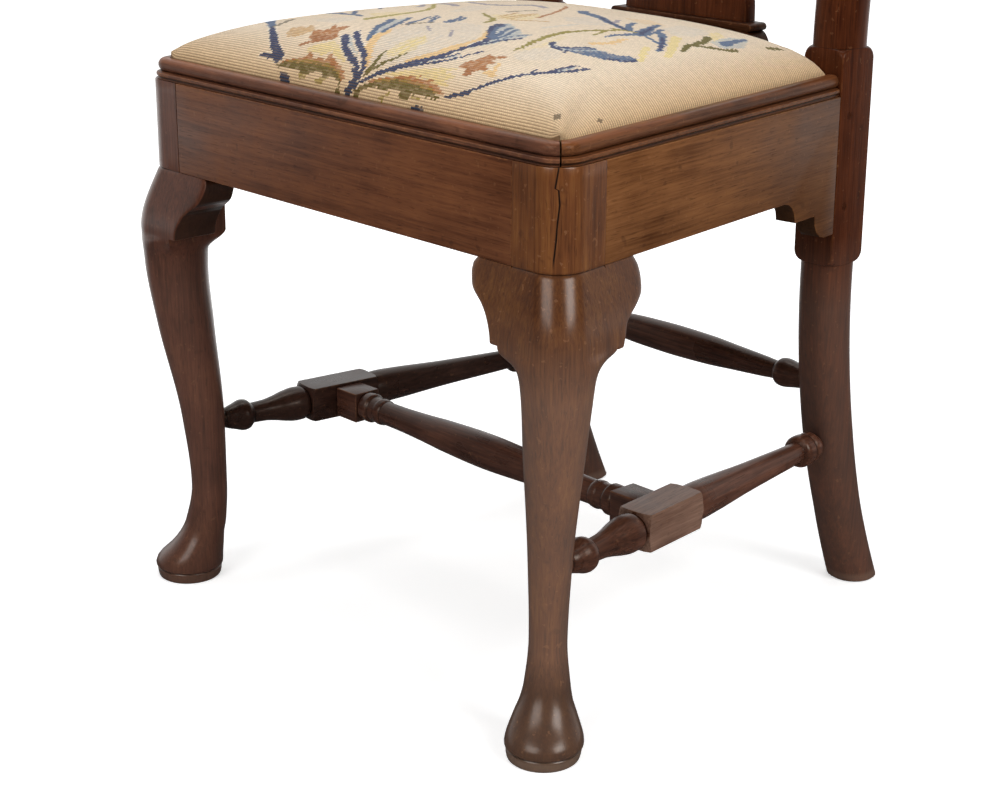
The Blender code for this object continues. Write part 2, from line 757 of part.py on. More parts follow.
def back_offset(height):
    """How far the back leans behind its lower block, smooth at both ends."""
    v = min(max((height - BLOCK_HIGH) / (POST_TOP - BLOCK_HIGH), 0), 1)
    return BACK_RAKE * v * v * (3 - 2 * v)


def rear_leg_centre(height):
    """The middle of the right rear post at a height, from its swept foot to its raked top."""
    u = max(0, (BLOCK_LOW - height) / BLOCK_LOW)
    sweep = Vector((-REAR_FOOT_IN * u, REAR_FOOT_BACK * u * u + back_offset(height), height))
    return POST_MID + sweep


def rear_post_mesh():
    """Rear leg and back post in one piece: round below, square at the rails, rounded above."""
    half = REAR_POST_SIZE / 2
    rings = []
    for share in np.linspace(0, 1, 9):
        height = share * (BLOCK_LOW - BLOCK_EASE / 2)
        swell = half + (REAR_FOOT_HALF - half) * max(0, 1 - share * 4)
        round_off = POST_ROUND_LOWER + (half - POST_ROUND_LOWER) * max(0, 1 - share * 2)
        rings.append(rounded_square(rear_leg_centre(height), swell, round_off))
    rings.append(rounded_square(rear_leg_centre(BLOCK_LOW), half, POST_ROUND_LOWER * 0.5))
    rings.append(rounded_square(rear_leg_centre(BLOCK_LOW + BLOCK_EASE / 2), half, POST_ARRIS))
    rings.append(rounded_square(rear_leg_centre(BLOCK_HIGH - BLOCK_EASE), half, POST_ARRIS))
    stop = rear_leg_centre(BLOCK_HIGH - BLOCK_EASE * 0.4)
    rings.append(rounded_square(stop, half, POST_ROUND_UPPER * 0.55))
    for share in np.linspace(0, 1, 10):
        height = BLOCK_HIGH + share * (POST_TOP - FIT - BLOCK_HIGH)
        rings.append(rounded_square(rear_leg_centre(height), half, POST_ROUND_UPPER))
    return loft(rings)


def post_tenon(grow):
    """The tenon on top of the rear post, or its mortise when grown."""
    middle = rear_leg_centre(POST_TOP)
    half = TENON_THICK / 2 + grow
    low = middle - Vector((half * 2, half, TENON_LENGTH))
    high = middle + Vector((half * 2, half, POST_TENON + grow))
    return box(low, high)


def build_rear_posts():
    """Rear posts, mortised for every rail and stretcher that meets them."""
    stretcher_start, stretcher_end = side_stretcher_ends()
    rear_start, rear_end = rear_stretcher_ends()
    for side, label in SIDES:
        post = add_part("rear_post_" + label, rear_post_mesh(), WALNUT_POST, side)
        combine(post, add_cutter("post_tenon_" + label, post_tenon(0), side), "UNION")
        combine(post, add_cutter("side_rear_mortise_" + label, side_rear_tenon(FIT), side))
        combine(post, add_cutter("rear_mortise_" + label, rear_tenon(FIT), side))
        for level in ("upper", "lower"):
            combine(post, bpy.data.objects["peg_hole_%s_%s" % (level, label)])
        for name, start, end in (("side_socket_", stretcher_end, stretcher_start),
                                 ("rear_socket_", rear_end, rear_start)):
            wide = ROUND_TENON + FIT
            hole = turned(((-ROUND_TENON_DEPTH, wide), (0.03, wide)), along(start, end))
            combine(post, add_cutter(name + label, hole, side))


def side_stretcher_ends():
    """Where the right side stretcher's axis meets the middle of the front and rear legs."""
    start = leg_centre(STRETCHER_HEIGHT / RAIL_LOW)
    return start, rear_leg_centre(STRETCHER_HEIGHT)


def rear_stretcher_ends():
    """Where the rear stretcher's axis meets the middle of the two rear legs, left then right."""
    end = rear_leg_centre(REAR_STRETCHER_HEIGHT)
    return Vector((-end.x, end.y, end.z)), end


def square_block(name, half, start, end, place, side=1):
    """A square left on a turned stretcher, its ends rounded off by the turning."""
    block = add_cutter(name, box((-half, -half, start), (half, half, end), place), side)
    corner = half * 1.5
    first = half * 0.86
    sweep = [(BLOCK_TURNED_END * (1 - math.cos(a)), first + (corner - first) * math.sin(a))
             for a in np.linspace(0, math.pi / 2, 4)]
    envelope = [(start + at, radius) for at, radius in sweep]
    envelope += [(end - at, radius) for at, radius in reversed(sweep)]
    combine(block, add_cutter(name + "_turning", turned(envelope, place), side), "INTERSECT")
    return block


def build_stretchers():
    """H-stretcher of two sides and a medial, and the higher rear stretcher."""
    start, end = side_stretcher_ends()
    length = (end - start).length
    place = along(start, end)
    profile = [(-ROUND_TENON_DEPTH + FIT, ROUND_TENON)]
    profile += [(SIDE_TURNING_FRONT[0][0] - 0.001, ROUND_TENON)] + list(SIDE_TURNING_FRONT)
    profile += [(length - back, radius) for back, radius in SIDE_TURNING_REAR]
    profile += [(length - SIDE_TURNING_REAR[-1][0] + 0.001, ROUND_TENON)]
    profile += [(length + ROUND_TENON_DEPTH - FIT, ROUND_TENON)]
    block_start = SIDE_BLOCK_AT - SIDE_BLOCK_LENGTH / 2
    crossing = place @ Vector((0, 0, SIDE_BLOCK_AT))
    inward = (place.to_3x3() @ Vector((1, 0, 0))).normalized()
    inward = inward if inward.x < 0 else -inward
    socket = turned(((-FIT, ROUND_TENON + FIT), (0.03, ROUND_TENON + FIT)),
                    along(crossing, crossing - Vector((1, 0, 0))))
    for side, label in SIDES:
        stretcher = add_part("side_stretcher_" + label, turned(profile, place), WALNUT_DARK, side)
        block = square_block("side_block_" + label, SIDE_BLOCK_HALF, block_start,
                             block_start + SIDE_BLOCK_LENGTH, place, side)
        combine(stretcher, block, "UNION")
        combine(stretcher, add_cutter("medial_socket_" + label, socket.copy(), side))

    middle = crossing.x
    ends = Vector((-middle, crossing.y, crossing.z)), Vector((middle, crossing.y, crossing.z))
    place = along(*ends)
    half_run = [(middle - MEDIAL_BLOCK_END + at, radius) for at, radius in MEDIAL_TURNING]
    profile = [(FIT, ROUND_TENON), (middle - MEDIAL_BLOCK_END - 0.001, ROUND_TENON)] + half_run
    profile += [(middle, MEDIAL_MIDDLE)]
    profile += [(2 * middle - at, radius) for at, radius in reversed(profile[:-1])]
    medial = add_part("medial_stretcher", turned(profile, place), WALNUT_DARK)
    seat = crossing + inward * (SIDE_BLOCK_HALF + FIT)
    for side, label in SIDES:
        low = Vector((MEDIAL_BLOCK_END, crossing.y - MEDIAL_BLOCK_HALF, crossing.z - MEDIAL_BLOCK_HALF))
        high = Vector((middle, crossing.y + MEDIAL_BLOCK_HALF, crossing.z + MEDIAL_BLOCK_HALF))
        block = add_cutter("medial_block_" + label, sliced(box(low, high), seat, -inward), side)
        combine(medial, block, "UNION")

    start, end = rear_stretcher_ends()
    length = (end - start).length
    half_run = [(-ROUND_TENON_DEPTH + FIT, ROUND_TENON), (REAR_TURNING[0][0] - 0.001, ROUND_TENON)]
    half_run += list(REAR_TURNING)
    profile = half_run + [(length / 2, REAR_MIDDLE)]
    profile += [(length - at, radius) for at, radius in reversed(half_run)]
    add_part("rear_stretcher", turned(profile, along(start, end)), WALNUT_DARK)


def build_corner_blocks():
    """Glue blocks inside the seat frame that tie the rails to the posts."""
    low, high = RAIL_LOW + TENON_SHOULDER, RAIL_TOP - TENON_SHOULDER
    arm = 0.045
    front_y = RAIL_THICK + FIT
    in_side = RAIL_THICK + FIT
    inner = POST_INNER + Vector((-FIT, FIT, 0))
    side_start = side_point(POST_SIDE + FIT, in_side)
    side_end = side_point(POST_SIDE + arm, in_side)
    front = [(GLUE_FRONT_X - arm, front_y), (inner.x, front_y), inner.xy, side_start.xy, side_end.xy]
    rear_y = REAR_RAIL_FRONT - FIT
    post_y = POST_FACE_Y - FIT
    meet = side_point((post_y + in_side * SIN_T) / COS_T, in_side)
    forward = side_point((post_y + in_side * SIN_T) / COS_T - arm, in_side)
    rear = [forward.xy, meet.xy, (POST_INNER_X - FIT, post_y), (POST_INNER_X - FIT, rear_y)]
    rear += [(POST_INNER_X - arm, rear_y)]
    for side, label in SIDES:
        add_part("corner_block_front_" + label, plate(front, low, high), PINE, side)
        add_part("corner_block_rear_" + label, plate(rear, low, high), PINE, side)


def shoe_mesh():
    """Shoe on the rear rail: hollow sides rising to a bead, with the same moulding on its ends."""
    base = RAIL_TOP + FIT
    neck = SHOE_TOP - SHOE_BEAD
    band = base + SHOE_BAND * SHOE_HEIGHT
    rows = [(base, -SHOE_FLARE), (band, -SHOE_FLARE)]
    for i in range(1, 5):
        angle = i / 4 * math.pi / 2
        hollow = SHOE_FLARE + SHOE_QUIRK
        rise = (neck - band) * math.sin(angle)
        rows.append((band + rise, -SHOE_FLARE + hollow * (1 - math.cos(angle))))
    for i in range(1, 5):
        angle = -math.pi / 2 + i / 4 * math.pi
        rise = SHOE_BEAD * (0.5 + 0.5 * math.sin(angle))
        rows.append((neck + rise, SHOE_QUIRK * 0.9 * (1 - math.cos(angle))))
    front = SEAT_BACK + SEAT_GAP + SHOE_FLARE
    rings = []
    for height, inset in rows:
        half = SHOE_HALF - inset
        near = front - SHOE_FLARE + (inset + SHOE_FLARE) * 0.5
        rings.append([(-half, near, height), (half, near, height), (half, REAR_RAIL_BACK, height),
                      (-half, REAR_RAIL_BACK, height)])
    return loft(rings)


def splat_ring(height, half, thick):
    """One level of the splat, leaning back with the posts."""
    middle = SPLAT_MID_Y + back_offset(height)
    return [(-half, middle - thick / 2, height), (half, middle - thick / 2, height),
            (half, middle + thick / 2, height), (-half, middle + thick / 2, height)]


def splat_tenon(low, high, grow):
    """A level tongue of the splat that sits in the shoe or the crest."""
    half = SPLAT_STATIONS[0][1] * 0.8 + grow
    rings = [splat_ring(height, half, TENON_THICK * 0.6 + 2 * grow) for height in np.linspace(low, high, 3)]
    return loft(rings)


def build_back():
    """Shoe, vase splat and yoke crest."""
    foot, head = SHOE_TOP + FIT, POST_TOP - FIT
    curve = smooth(SPLAT_STATIONS)
    marks = [row[0] for row in SPLAT_STATIONS]
    rings = [splat_ring(foot + share * (head - foot), float(curve(share)[0]), SPLAT_THICK)
             for share in between(marks, 3)]
    splat = add_part("splat", loft(rings), WALNUT_POST)
    inside = 0.02
    for name, low, high in (("splat_foot", foot - SPLAT_TENON, foot + inside),
                            ("splat_head", head - inside, head + SPLAT_TENON)):
        combine(splat, add_cutter(name, splat_tenon(low, high, 0)), "UNION")
    shoe = add_part("shoe", shoe_mesh(), WALNUT_POST)
    combine(shoe, add_cutter("shoe_groove", splat_tenon(foot - SPLAT_TENON - FIT, foot + inside, FIT)))

    outline = smooth(CREST_STATIONS)
    middle = POST_MID.y + BACK_RAKE
    rings = []
    for share in between([row[0] for row in CREST_STATIONS], 2):
        low, high = outline(share)
        low, high = POST_TOP - low, POST_TOP + high
        half = CREST_THICK / 2
        soft = min(0.008, (high - low) / 3)
        section = [(-half, low), (half, low), (half, high - soft), (half * 0.6, high - soft * 0.3),
                   (0, high), (-half * 0.6, high - soft * 0.3), (-half, high - soft)]
        rings.append([Vector((share * CREST_HALF, middle + y, z)) for y, z in section])
    mirrored = [[Vector((-point.x, point.y, point.z)) for point in ring] for ring in rings[:0:-1]]
    crest = add_part("crest_rail", loft(mirrored + rings), WALNUT_POST)
    combine(crest, add_cutter("crest_groove", splat_tenon(head - inside, head + SPLAT_TENON + FIT, FIT)))
    for side, label in SIDES:
        combine(crest, add_cutter("crest_mortise_" + label, post_tenon(FIT), side))


def seat_half_width(y, inset):
    """Half the seat's width at a depth, in from the side rails' faces."""
    return HALF_FRONT - (y * SIN_T + inset) / COS_T


def seat_outline(inset, corner):
    """Plan of the drop-in seat: a trapezium with its front corners taken off."""
    front, back = inset, SEAT_BACK - (inset - SEAT_INSET)
    points = [(seat_half_width(front, inset) - corner, front)]
    points += [(seat_half_width(front + corner, inset), front + corner)]
    points += [(seat_half_width(back, inset), back)]
    return points + [(-x, y) for x, y in reversed(points)]


def seat_point(u, v, inset):
    """A point of the seat's plan from -1..1 across and front to back, drawn in round the front corners."""
    front, back = inset, SEAT_BACK - (inset - SEAT_INSET)
    across = u * math.sqrt(1 - CORNER_PULL * v * v / 2)
    deep = v * math.sqrt(1 - CORNER_PULL * u * u / 2)
    y = (front + back) / 2 + deep * (back - front) / 2
    x = across * seat_half_width(y, inset)
    corner = max(POST_CORNER_RADIUS - inset, 0)
    middle = Vector((math.copysign(seat_half_width(front + corner, inset + corner), x), front + corner))
    spoke = Vector((x, y)) - middle
    if abs(x) > abs(middle.x) and spoke.y < 0 and spoke.length > corner:
        x, y = middle + spoke.normalized() * corner
    return x, y


def crown_grid(inset):
    """Top of the cover as rows of points, close together near the edges where it turns down."""
    grid = []
    for v in np.sin(np.linspace(-0.5, 0.5, CROWN_ROWS + 1) * math.pi):
        line = []
        for u in np.sin(np.linspace(-0.5, 0.5, CROWN_COLUMNS + 1) * math.pi):
            swell = max(0.0, 1 - abs(u) ** CROWN_POWER) * max(0.0, 1 - abs(v) ** CROWN_POWER)
            x, y = seat_point(u, v, inset)
            line.append(Vector((x, y, RAIL_TOP + COVER_EDGE + CROWN * swell ** CROWN_FULLNESS)))
        grid.append(line)
    return grid


def around(grid):
    """What lies along the edge of a grid, in order."""
    edge = grid[0][:-1] + [line[-1] for line in grid[:-1]]
    return edge + grid[-1][:0:-1] + [line[0] for line in grid[:0:-1]]


def skin(bm, grid):
    """Faces over a grid of points, and the vertices around its edge in order."""
    verts = [[bm.verts.new(point) for point in line] for line in grid]
    for near, far in zip(verts, verts[1:]):
        for i in range(len(near) - 1):
            bm.faces.new((near[i], near[i + 1], far[i + 1], far[i]))
    return around(verts)


def wall(bm, edge, points):
    """A band of faces from an edge to a new row of points."""
    new = [bm.verts.new(point) for point in points]
    for i in range(len(edge)):
        j = (i + 1) % len(edge)
        bm.faces.new((edge[j], edge[i], new[i], new[j]))
    return new


def cover_mesh():
    """Outer face of the cover: crowned top, straight sides, and a margin turned under the frame."""
    bm = bmesh.new()
    edge = skin(bm, crown_grid(SEAT_INSET))
    for inset in (SEAT_INSET, SEAT_INSET + COVER_TUCK):
        lower = [Vector((point.x, point.y, SEAT_FLOOR)) for point in around(crown_grid(inset))]
        edge = wall(bm, edge, lower)
    mesh = bpy.data.meshes.new("cover")
    bm.normal_update()
    bm.to_mesh(mesh)
    bm.free()
    return mesh


def stuffing_mesh(cover, floor):
    """Stuffing that fills the crown under the cover, cut flat where it meets the sackcloth."""
    deep = COVER_THICK + STUFFING_GAP
    size = CROWN_COLUMNS + 1
    grid = []
    for j in range(CROWN_ROWS + 1):
        row = cover.vertices[j * size:(j + 1) * size]
        grid.append([vert.co - vert.normal * deep for vert in row])
    bm = bmesh.new()
    edge = skin(bm, grid)
    bm.faces.new(reversed(wall(bm, edge, [Vector((vert.co.x, vert.co.y, RAIL_TOP)) for vert in edge])))
    return sliced(mesh_from(bm), (0, 0, floor), (0, 0, -1))


def web_mesh(start, end, across, crossings, over_first):
    """One band of webbing from rail to rail, passing over and under the bands it meets."""
    way = (end - start).normalized()
    flat, ramp = WEB_WIDTH / 2 + 0.002, WEB_WIDTH / 4
    stations = [(0.0, 0.0)]
    for k, at in enumerate(crossings):
        if (k % 2 == 0) == over_first:
            stations += [(at - flat - ramp, 0.0), (at - flat, 1.0), (at + flat, 1.0), (at + flat + ramp, 0.0)]
    stations.append(((end - start).length, 0.0))
    rings = []
    for at, rise in stations:
        middle = start + way * at + Vector((0, 0, rise * 2 * WEB_WAVE))
        half, up = across * WEB_WIDTH / 2, Vector((0, 0, WEB_THICK))
        rings.append([middle - half, middle + half, middle + half + up, middle - half + up])
    return loft(rings)


def notch_mesh():
    """Room for a rear post at the seat's rear corner."""
    low = (POST_INNER_X - NOTCH_GAP, POST_FACE_Y - NOTCH_GAP, RAIL_LOW)
    return box(low, (HALF_FRONT, REAR_RAIL_BACK + NOTCH_GAP, POST_TOP))


def build_slip_frame(seat_part, notches):
    """Frame of the drop-in seat: four rails, half-lapped at the corners."""
    low, high = SLIP_LOW - RAIL_THICK, SLIP_TOP + RAIL_THICK
    outline = seat_outline(SLIP_INSET, SLIP_CORNER)
    lap = (SLIP_LOW + SLIP_TOP) / 2
    front_y = SLIP_INSET + SLIP_RAIL_WIDTH
    back_y = SEAT_BACK - (SLIP_INSET - SEAT_INSET) - SLIP_RAIL_WIDTH
    inner = [(seat_half_width(y, SLIP_INSET + SLIP_RAIL_WIDTH), y) for y in (-RAIL_THICK, REAR_RAIL_BACK)]
    outer = [(FRONT_WIDTH, y) for x, y in reversed(inner)]
    spans = {
        "front": ((-FRONT_WIDTH, -RAIL_THICK), (FRONT_WIDTH, front_y)),
        "rear": ((-FRONT_WIDTH, back_y), (FRONT_WIDTH, REAR_RAIL_BACK)),
    }
    for end, (near, far) in spans.items():
        rail = seat_part("slip_rail_" + end, plate(outline, SLIP_LOW, SLIP_TOP), BEECH)
        combine(rail, add_cutter("slip_span_" + end, box((*near, low), (*far, high))), "INTERSECT")
        for side, label in SIDES:
            strip = [(x - FIT, y) for x, y in inner] + outer
            cutter = add_cutter("slip_lap_%s_%s" % (end, label), plate(strip, low, lap + FIT / 2), side)
            combine(rail, cutter)
        for notch in notches.values():
            combine(rail, notch)
    for side, label in SIDES:
        rail = seat_part("slip_rail_" + label, plate(outline, SLIP_LOW, SLIP_TOP), BEECH)
        strip = add_cutter("slip_span_" + label, plate(inner + outer, low, high), side)
        combine(rail, strip, "INTERSECT")
        for end, ((x0, y0), (x1, y1)) in spans.items():
            grown = box((x0, y0 - FIT, lap - FIT / 2), (x1, y1 + FIT, high))
            combine(rail, add_cutter("slip_lap_%s_%s" % (label, end), grown))
        combine(rail, notches[label])


def build_webbing(seat_part):
    """Bands of webbing, interlaced and tacked on top of the frame."""
    level = SLIP_TOP + FIT
    lap = SLIP_RAIL_WIDTH * 0.7
    front, back = SLIP_INSET + SLIP_RAIL_WIDTH, SEAT_BACK - SLIP_RAIL_WIDTH
    order = range(WEB_COUNT)
    cross_at = [front + (back - front) * (k + 0.5) / WEB_COUNT for k in order]
    clear = 2 * seat_half_width(back, SLIP_INSET + SLIP_RAIL_WIDTH)
    long_at = [clear * ((k + 0.5) / WEB_COUNT - 0.5) for k in order]
    for k in order:
        start, end = Vector((long_at[k], front - lap, level)), Vector((long_at[k], back + lap, level))
        met = [y - start.y for y in cross_at]
        band = web_mesh(start, end, Vector((-1, 0, 0)), met, k % 2 == 0)
        seat_part("webbing_long_%d" % (k + 1), band, JUTE)
        half = seat_half_width(cross_at[k], SLIP_INSET + SLIP_RAIL_WIDTH - lap)
        start, end = Vector((-half, cross_at[k], level)), Vector((half, cross_at[k], level))
        met = [x - start.x for x in long_at]
        band = web_mesh(start, end, Vector((0, 1, 0)), met, k % 2 == 1)
        seat_part("webbing_cross_%d" % (k + 1), band, JUTE)


def build_seat():
    """Drop-in seat: lapped frame, webbing, sackcloth, stuffing and needlework cover."""
    lift = add_empty("slip_seat_lift", ROOT)
    lift.location = (0, (SEAT_INSET + SEAT_BACK) / 2, 0)

    def seat_part(name, mesh, look):
        mesh.transform(Matrix.Translation(-lift.location))
        return add_part(name, mesh, look, parent=lift)

    notches = {label: add_cutter("seat_notch_" + label, notch_mesh(), side) for side, label in SIDES}
    build_slip_frame(seat_part, notches)
    build_webbing(seat_part)
    level = SLIP_TOP + 2 * FIT + WEB_THICK + 2 * WEB_WAVE
    under = SLIP_INSET + SLIP_RAIL_WIDTH * 0.3
    cloth = plate(seat_outline(under, SLIP_CORNER), level, level + SACKCLOTH_THICK)
    seat_part("sackcloth", cloth, SACKCLOTH)
    cover = cover_mesh()
    pads = [seat_part("seat_stuffing", stuffing_mesh(cover, level + SACKCLOTH_THICK + FIT), HORSEHAIR)]
    pads.append(seat_part("needlework_cover", cover, NEEDLEWORK))
    shell = pads[1].modifiers.new("cloth thickness", "SOLIDIFY")
    shell.thickness = COVER_THICK
    shell.offset = -1
    for pad in pads:
        for notch in notches.values():
            combine(pad, notch)


def stand_on_origin():
    """Move the whole chair so that its box stands centred on the world origin."""
    bpy.context.view_layer.update()
    graph = bpy.context.evaluated_depsgraph_get()
    corners = []
    for piece in PARTS.objects:
        if piece.type == "MESH":
            shape = piece.evaluated_get(graph)
            corners += [shape.matrix_world @ Vector(corner) for corner in shape.bound_box]
    low = Vector([min(corner[k] for corner in corners) for k in range(3)])
    high = Vector([max(corner[k] for corner in corners) for k in range(3)])
    ROOT.location = (-(low.x + high.x) / 2, -(low.y + high.y) / 2, -low.z)
    bpy.context.view_layer.update()


PARTS = None
CUTTERS = None
ROOT = None

WALNUT_LEG = ((0.115, 0.052, 0.026), 0.38)
WALNUT_RAIL = ((0.110, 0.050, 0.028), 0.42)
WALNUT_RIM = ((0.085, 0.035, 0.020), 0.40)
WALNUT_POST = ((0.070, 0.022, 0.010), 0.36)
WALNUT_DARK = ((0.045, 0.020, 0.012), 0.34)
PINE = ((0.36, 0.22, 0.11), 0.60)
BEECH = ((0.42, 0.28, 0.16), 0.60)
JUTE = ((0.36, 0.27, 0.17), 0.85)
SACKCLOTH = ((0.40, 0.31, 0.20), 0.90)
HORSEHAIR = ((0.10, 0.07, 0.05), 0.95)
NEEDLEWORK = ((0.66, 0.52, 0.33), 0.90)


def main():
    global PARTS, CUTTERS, ROOT
    clear_scene()
    PARTS = make_collection("side_chair")
    CUTTERS = make_collection("side_chair_cutters")
    ROOT = add_empty("side_chair_root")
    build_front_legs()
    build_seat_rails()
    build_rim_moulding()
    build_rear_posts()
    build_stretchers()
    build_corner_blocks()
    build_back()
    build_seat()
    stand_on_origin()


main()
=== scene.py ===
# %% [markdown]
# # A walnut side chair, dressed from its solids
# The solids of this chair are fixed: they say where every rail, leg and stretcher is.
# This lesson gives each of them the surface a maker leaves: softened edges, turned beads,
# waxed wood with its grain the right way, and a needlework seat that is stretched over stuffing.

# %% Load the solids and keep their box
import math

import bmesh
import bpy
import numpy as np
from mathutils import Matrix, Vector


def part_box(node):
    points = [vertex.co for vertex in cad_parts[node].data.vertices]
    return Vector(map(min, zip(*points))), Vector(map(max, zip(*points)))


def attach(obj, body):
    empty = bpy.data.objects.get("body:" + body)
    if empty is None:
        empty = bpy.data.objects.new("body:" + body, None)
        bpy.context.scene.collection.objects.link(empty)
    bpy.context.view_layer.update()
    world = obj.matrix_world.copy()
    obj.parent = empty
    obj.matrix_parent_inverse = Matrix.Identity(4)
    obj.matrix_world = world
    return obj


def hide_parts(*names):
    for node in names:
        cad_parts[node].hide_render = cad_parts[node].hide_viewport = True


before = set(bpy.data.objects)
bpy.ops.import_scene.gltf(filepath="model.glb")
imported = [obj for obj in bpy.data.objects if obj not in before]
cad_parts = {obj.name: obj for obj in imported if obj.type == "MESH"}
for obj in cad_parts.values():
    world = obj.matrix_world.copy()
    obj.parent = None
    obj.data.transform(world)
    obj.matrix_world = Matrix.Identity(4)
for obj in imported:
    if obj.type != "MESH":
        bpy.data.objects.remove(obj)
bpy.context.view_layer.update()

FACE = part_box("seat_rail_front")[0].y
SHIFT = Vector((0, FACE, 0))
print("solids:", len(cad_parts), "front face at y =", round(FACE, 4))

# %% [markdown]
# ## The camera
# The chair was photographed from above its right front corner with a long lens.
# The camera comes first, so that every later piece can be judged from the same place.

# %% Camera
YAW, TILT, ROLL = math.radians(47.30), math.radians(18.58), math.radians(0.324)
CAMERA_AT, LENS, FILM_WIDTH = (1.1258, FACE - 0.8723, 0.6882), 73.09, 36
forward = Vector((-math.sin(YAW) * math.cos(TILT), math.cos(YAW) * math.cos(TILT), -math.sin(TILT)))
right = Vector((math.cos(YAW), math.sin(YAW), 0))
up = right.cross(forward)
level_right = right * math.cos(ROLL) + up * math.sin(ROLL)
level_up = up * math.cos(ROLL) - right * math.sin(ROLL)
bpy.ops.object.select_all(action="DESELECT")
bpy.ops.object.camera_add()
camera = bpy.context.object
turn = Matrix((level_right, level_up, -forward)).transposed().to_4x4()
camera.matrix_world = Matrix.Translation(CAMERA_AT) @ turn
camera.data.sensor_width = FILM_WIDTH
camera.data.lens = LENS
bpy.context.scene.camera = camera
print("camera at", [round(c, 3) for c in camera.location])

# %% [markdown]
# ## Working by hand
# An operator acts on whatever is selected, so each step starts by picking one piece.
# A few small helpers keep the later cells short: pick a piece, start a new one, apply a modifier, true up a mesh.

# %% Helpers for picking and finishing a mesh
# Points nearer to each other than a hundredth of a millimetre are one point
MERGE = 0.00001


def pick(piece):
    """Make one piece the only thing selected."""
    if bpy.context.object and bpy.context.object.mode != "OBJECT":
        bpy.ops.object.mode_set(mode="OBJECT")
    bpy.ops.object.select_all(action="DESELECT")
    piece.select_set(True)
    bpy.context.view_layer.objects.active = piece


def fresh(name, add, **settings):
    """Add something new by one of Blender's own operators, and name it."""
    bpy.ops.object.select_all(action="DESELECT")
    add(**settings)
    piece = bpy.context.object
    piece.name = name
    return piece


def apply_step(piece, kind, **settings):
    """Add a modifier with its settings and apply it."""
    pick(piece)
    step = piece.modifiers.new(kind.lower(), kind)
    for name, value in settings.items():
        setattr(step, name, value)
    bpy.ops.object.modifier_apply(modifier=step.name)
    return piece


def true_up(piece):
    """Merge doubled points and turn every face outwards."""
    pick(piece)
    bpy.ops.object.mode_set(mode="EDIT")
    bpy.ops.mesh.select_all(action="SELECT")
    bpy.ops.mesh.remove_doubles(threshold=MERGE)
    bpy.ops.mesh.normals_make_consistent(inside=False)
    bpy.ops.object.mode_set(mode="OBJECT")
    return piece


# %% [markdown]
# ## Shapes that change along their length
# A cabriole leg, a raked post and a shaped splat are all sawn or carved to a section that changes.
# One flat ring is extruded again and again, and each new ring is put where the shape wants it.

# %% Extrude a ring along a shape
def lofted(name, rings):
    """A closed piece made by extruding one ring of points through all the others."""
    piece = fresh(name, bpy.ops.mesh.primitive_circle_add, vertices=len(rings[0]), fill_type="NGON")
    bpy.ops.object.mode_set(mode="EDIT")
    bm = bmesh.from_edit_mesh(piece.data)
    place = bm.verts.layers.int.new("place")
    for i, vert in enumerate(bm.verts):
        vert[place] = i
        vert.co = Vector(rings[0][i]) + SHIFT
    for ring in rings[1:]:
        bpy.ops.mesh.extrude_region_move()
        bm = bmesh.from_edit_mesh(piece.data)
        place = bm.verts.layers.int["place"]
        for vert in bm.verts:
            if vert.select:
                vert.co = Vector(ring[vert[place]]) + SHIFT
    bmesh.update_edit_mesh(piece.data)
    bpy.ops.object.mode_set(mode="OBJECT")
    return true_up(piece)


def mirrored(rings):
    """The same rings for the left side of the chair."""
    return [[Vector((-point[0], point[1], point[2])) for point in ring] for ring in rings]


def unit(value):
    """A value held between 0 and 1."""
    return min(max(value, 0), 1)


def eased(value):
    """A value held between 0 and 1, with a soft start and a soft end."""
    share = unit(value)
    return share * share * (3 - 2 * share)


def smooth(rows):
    """A smooth curve through rows of (position, values...) that doesn't overshoot them."""
    table = np.array(rows, dtype=float)
    x, values = table[:, 0], table[:, 1:]
    step = np.diff(x)[:, None]
    rise = np.diff(values, axis=0) / step
    slope = np.zeros_like(values)
    slope[0], slope[-1] = rise[0], rise[-1]
    before, after = rise[:-1], rise[1:]
    total = np.where(before + after == 0, 1, before + after)
    slope[1:-1] = np.where(before * after > 0, 2 * before * after / total, 0)

    def read(at):
        k = int(np.clip(np.searchsorted(x, at, side="right") - 1, 0, len(x) - 2))
        t = (at - x[k]) / step[k, 0]
        curve = (1 + 2 * t) * (1 - t) ** 2 * values[k] + t * t * (3 - 2 * t) * values[k + 1]
        bend = t * (1 - t) ** 2 * slope[k] - t * t * (1 - t) * slope[k + 1]
        return curve + bend * step[k, 0]

    return read


# %% [markdown]
# ## Sawn pieces with softened edges
# Rails and blocks are straight, and their solids are already right but for their knife-sharp edges.
# A copy of the solid is merged, its flat triangles are dissolved, and a small bevel breaks the edges.

# %% Copy a solid and soften its edges
def softened(node, width, segments=3, waste=None):
    """A copy of a solid, less any waste, with its edges broken as by a plane and long handling."""
    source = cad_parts[node]
    piece = bpy.data.objects.new(node + "_softened", source.data.copy())
    bpy.context.scene.collection.objects.link(piece)
    piece.data.materials.clear()
    pick(piece)
    bpy.ops.object.mode_set(mode="EDIT")
    bpy.ops.mesh.select_all(action="SELECT")
    bpy.ops.mesh.remove_doubles(threshold=MERGE)
    bpy.ops.mesh.dissolve_limited(angle_limit=math.radians(1))
    bpy.ops.object.mode_set(mode="OBJECT")
    if waste:
        apply_step(piece, "BOOLEAN", object=waste, operation="DIFFERENCE", solver="EXACT")
        bpy.data.objects.remove(waste)
    return apply_step(piece, "BEVEL", width=width, segments=segments, limit_method="ANGLE",
                      angle_limit=math.radians(40), use_clamp_overlap=False)


# %% [markdown]
# ## Where wax wears off and dirt stays
# On old furniture the sharp outer edges are rubbed pale, and the hollows hold dark wax.
# Both follow from how tightly the surface bends, so each point keeps two numbers: worn and dirty.

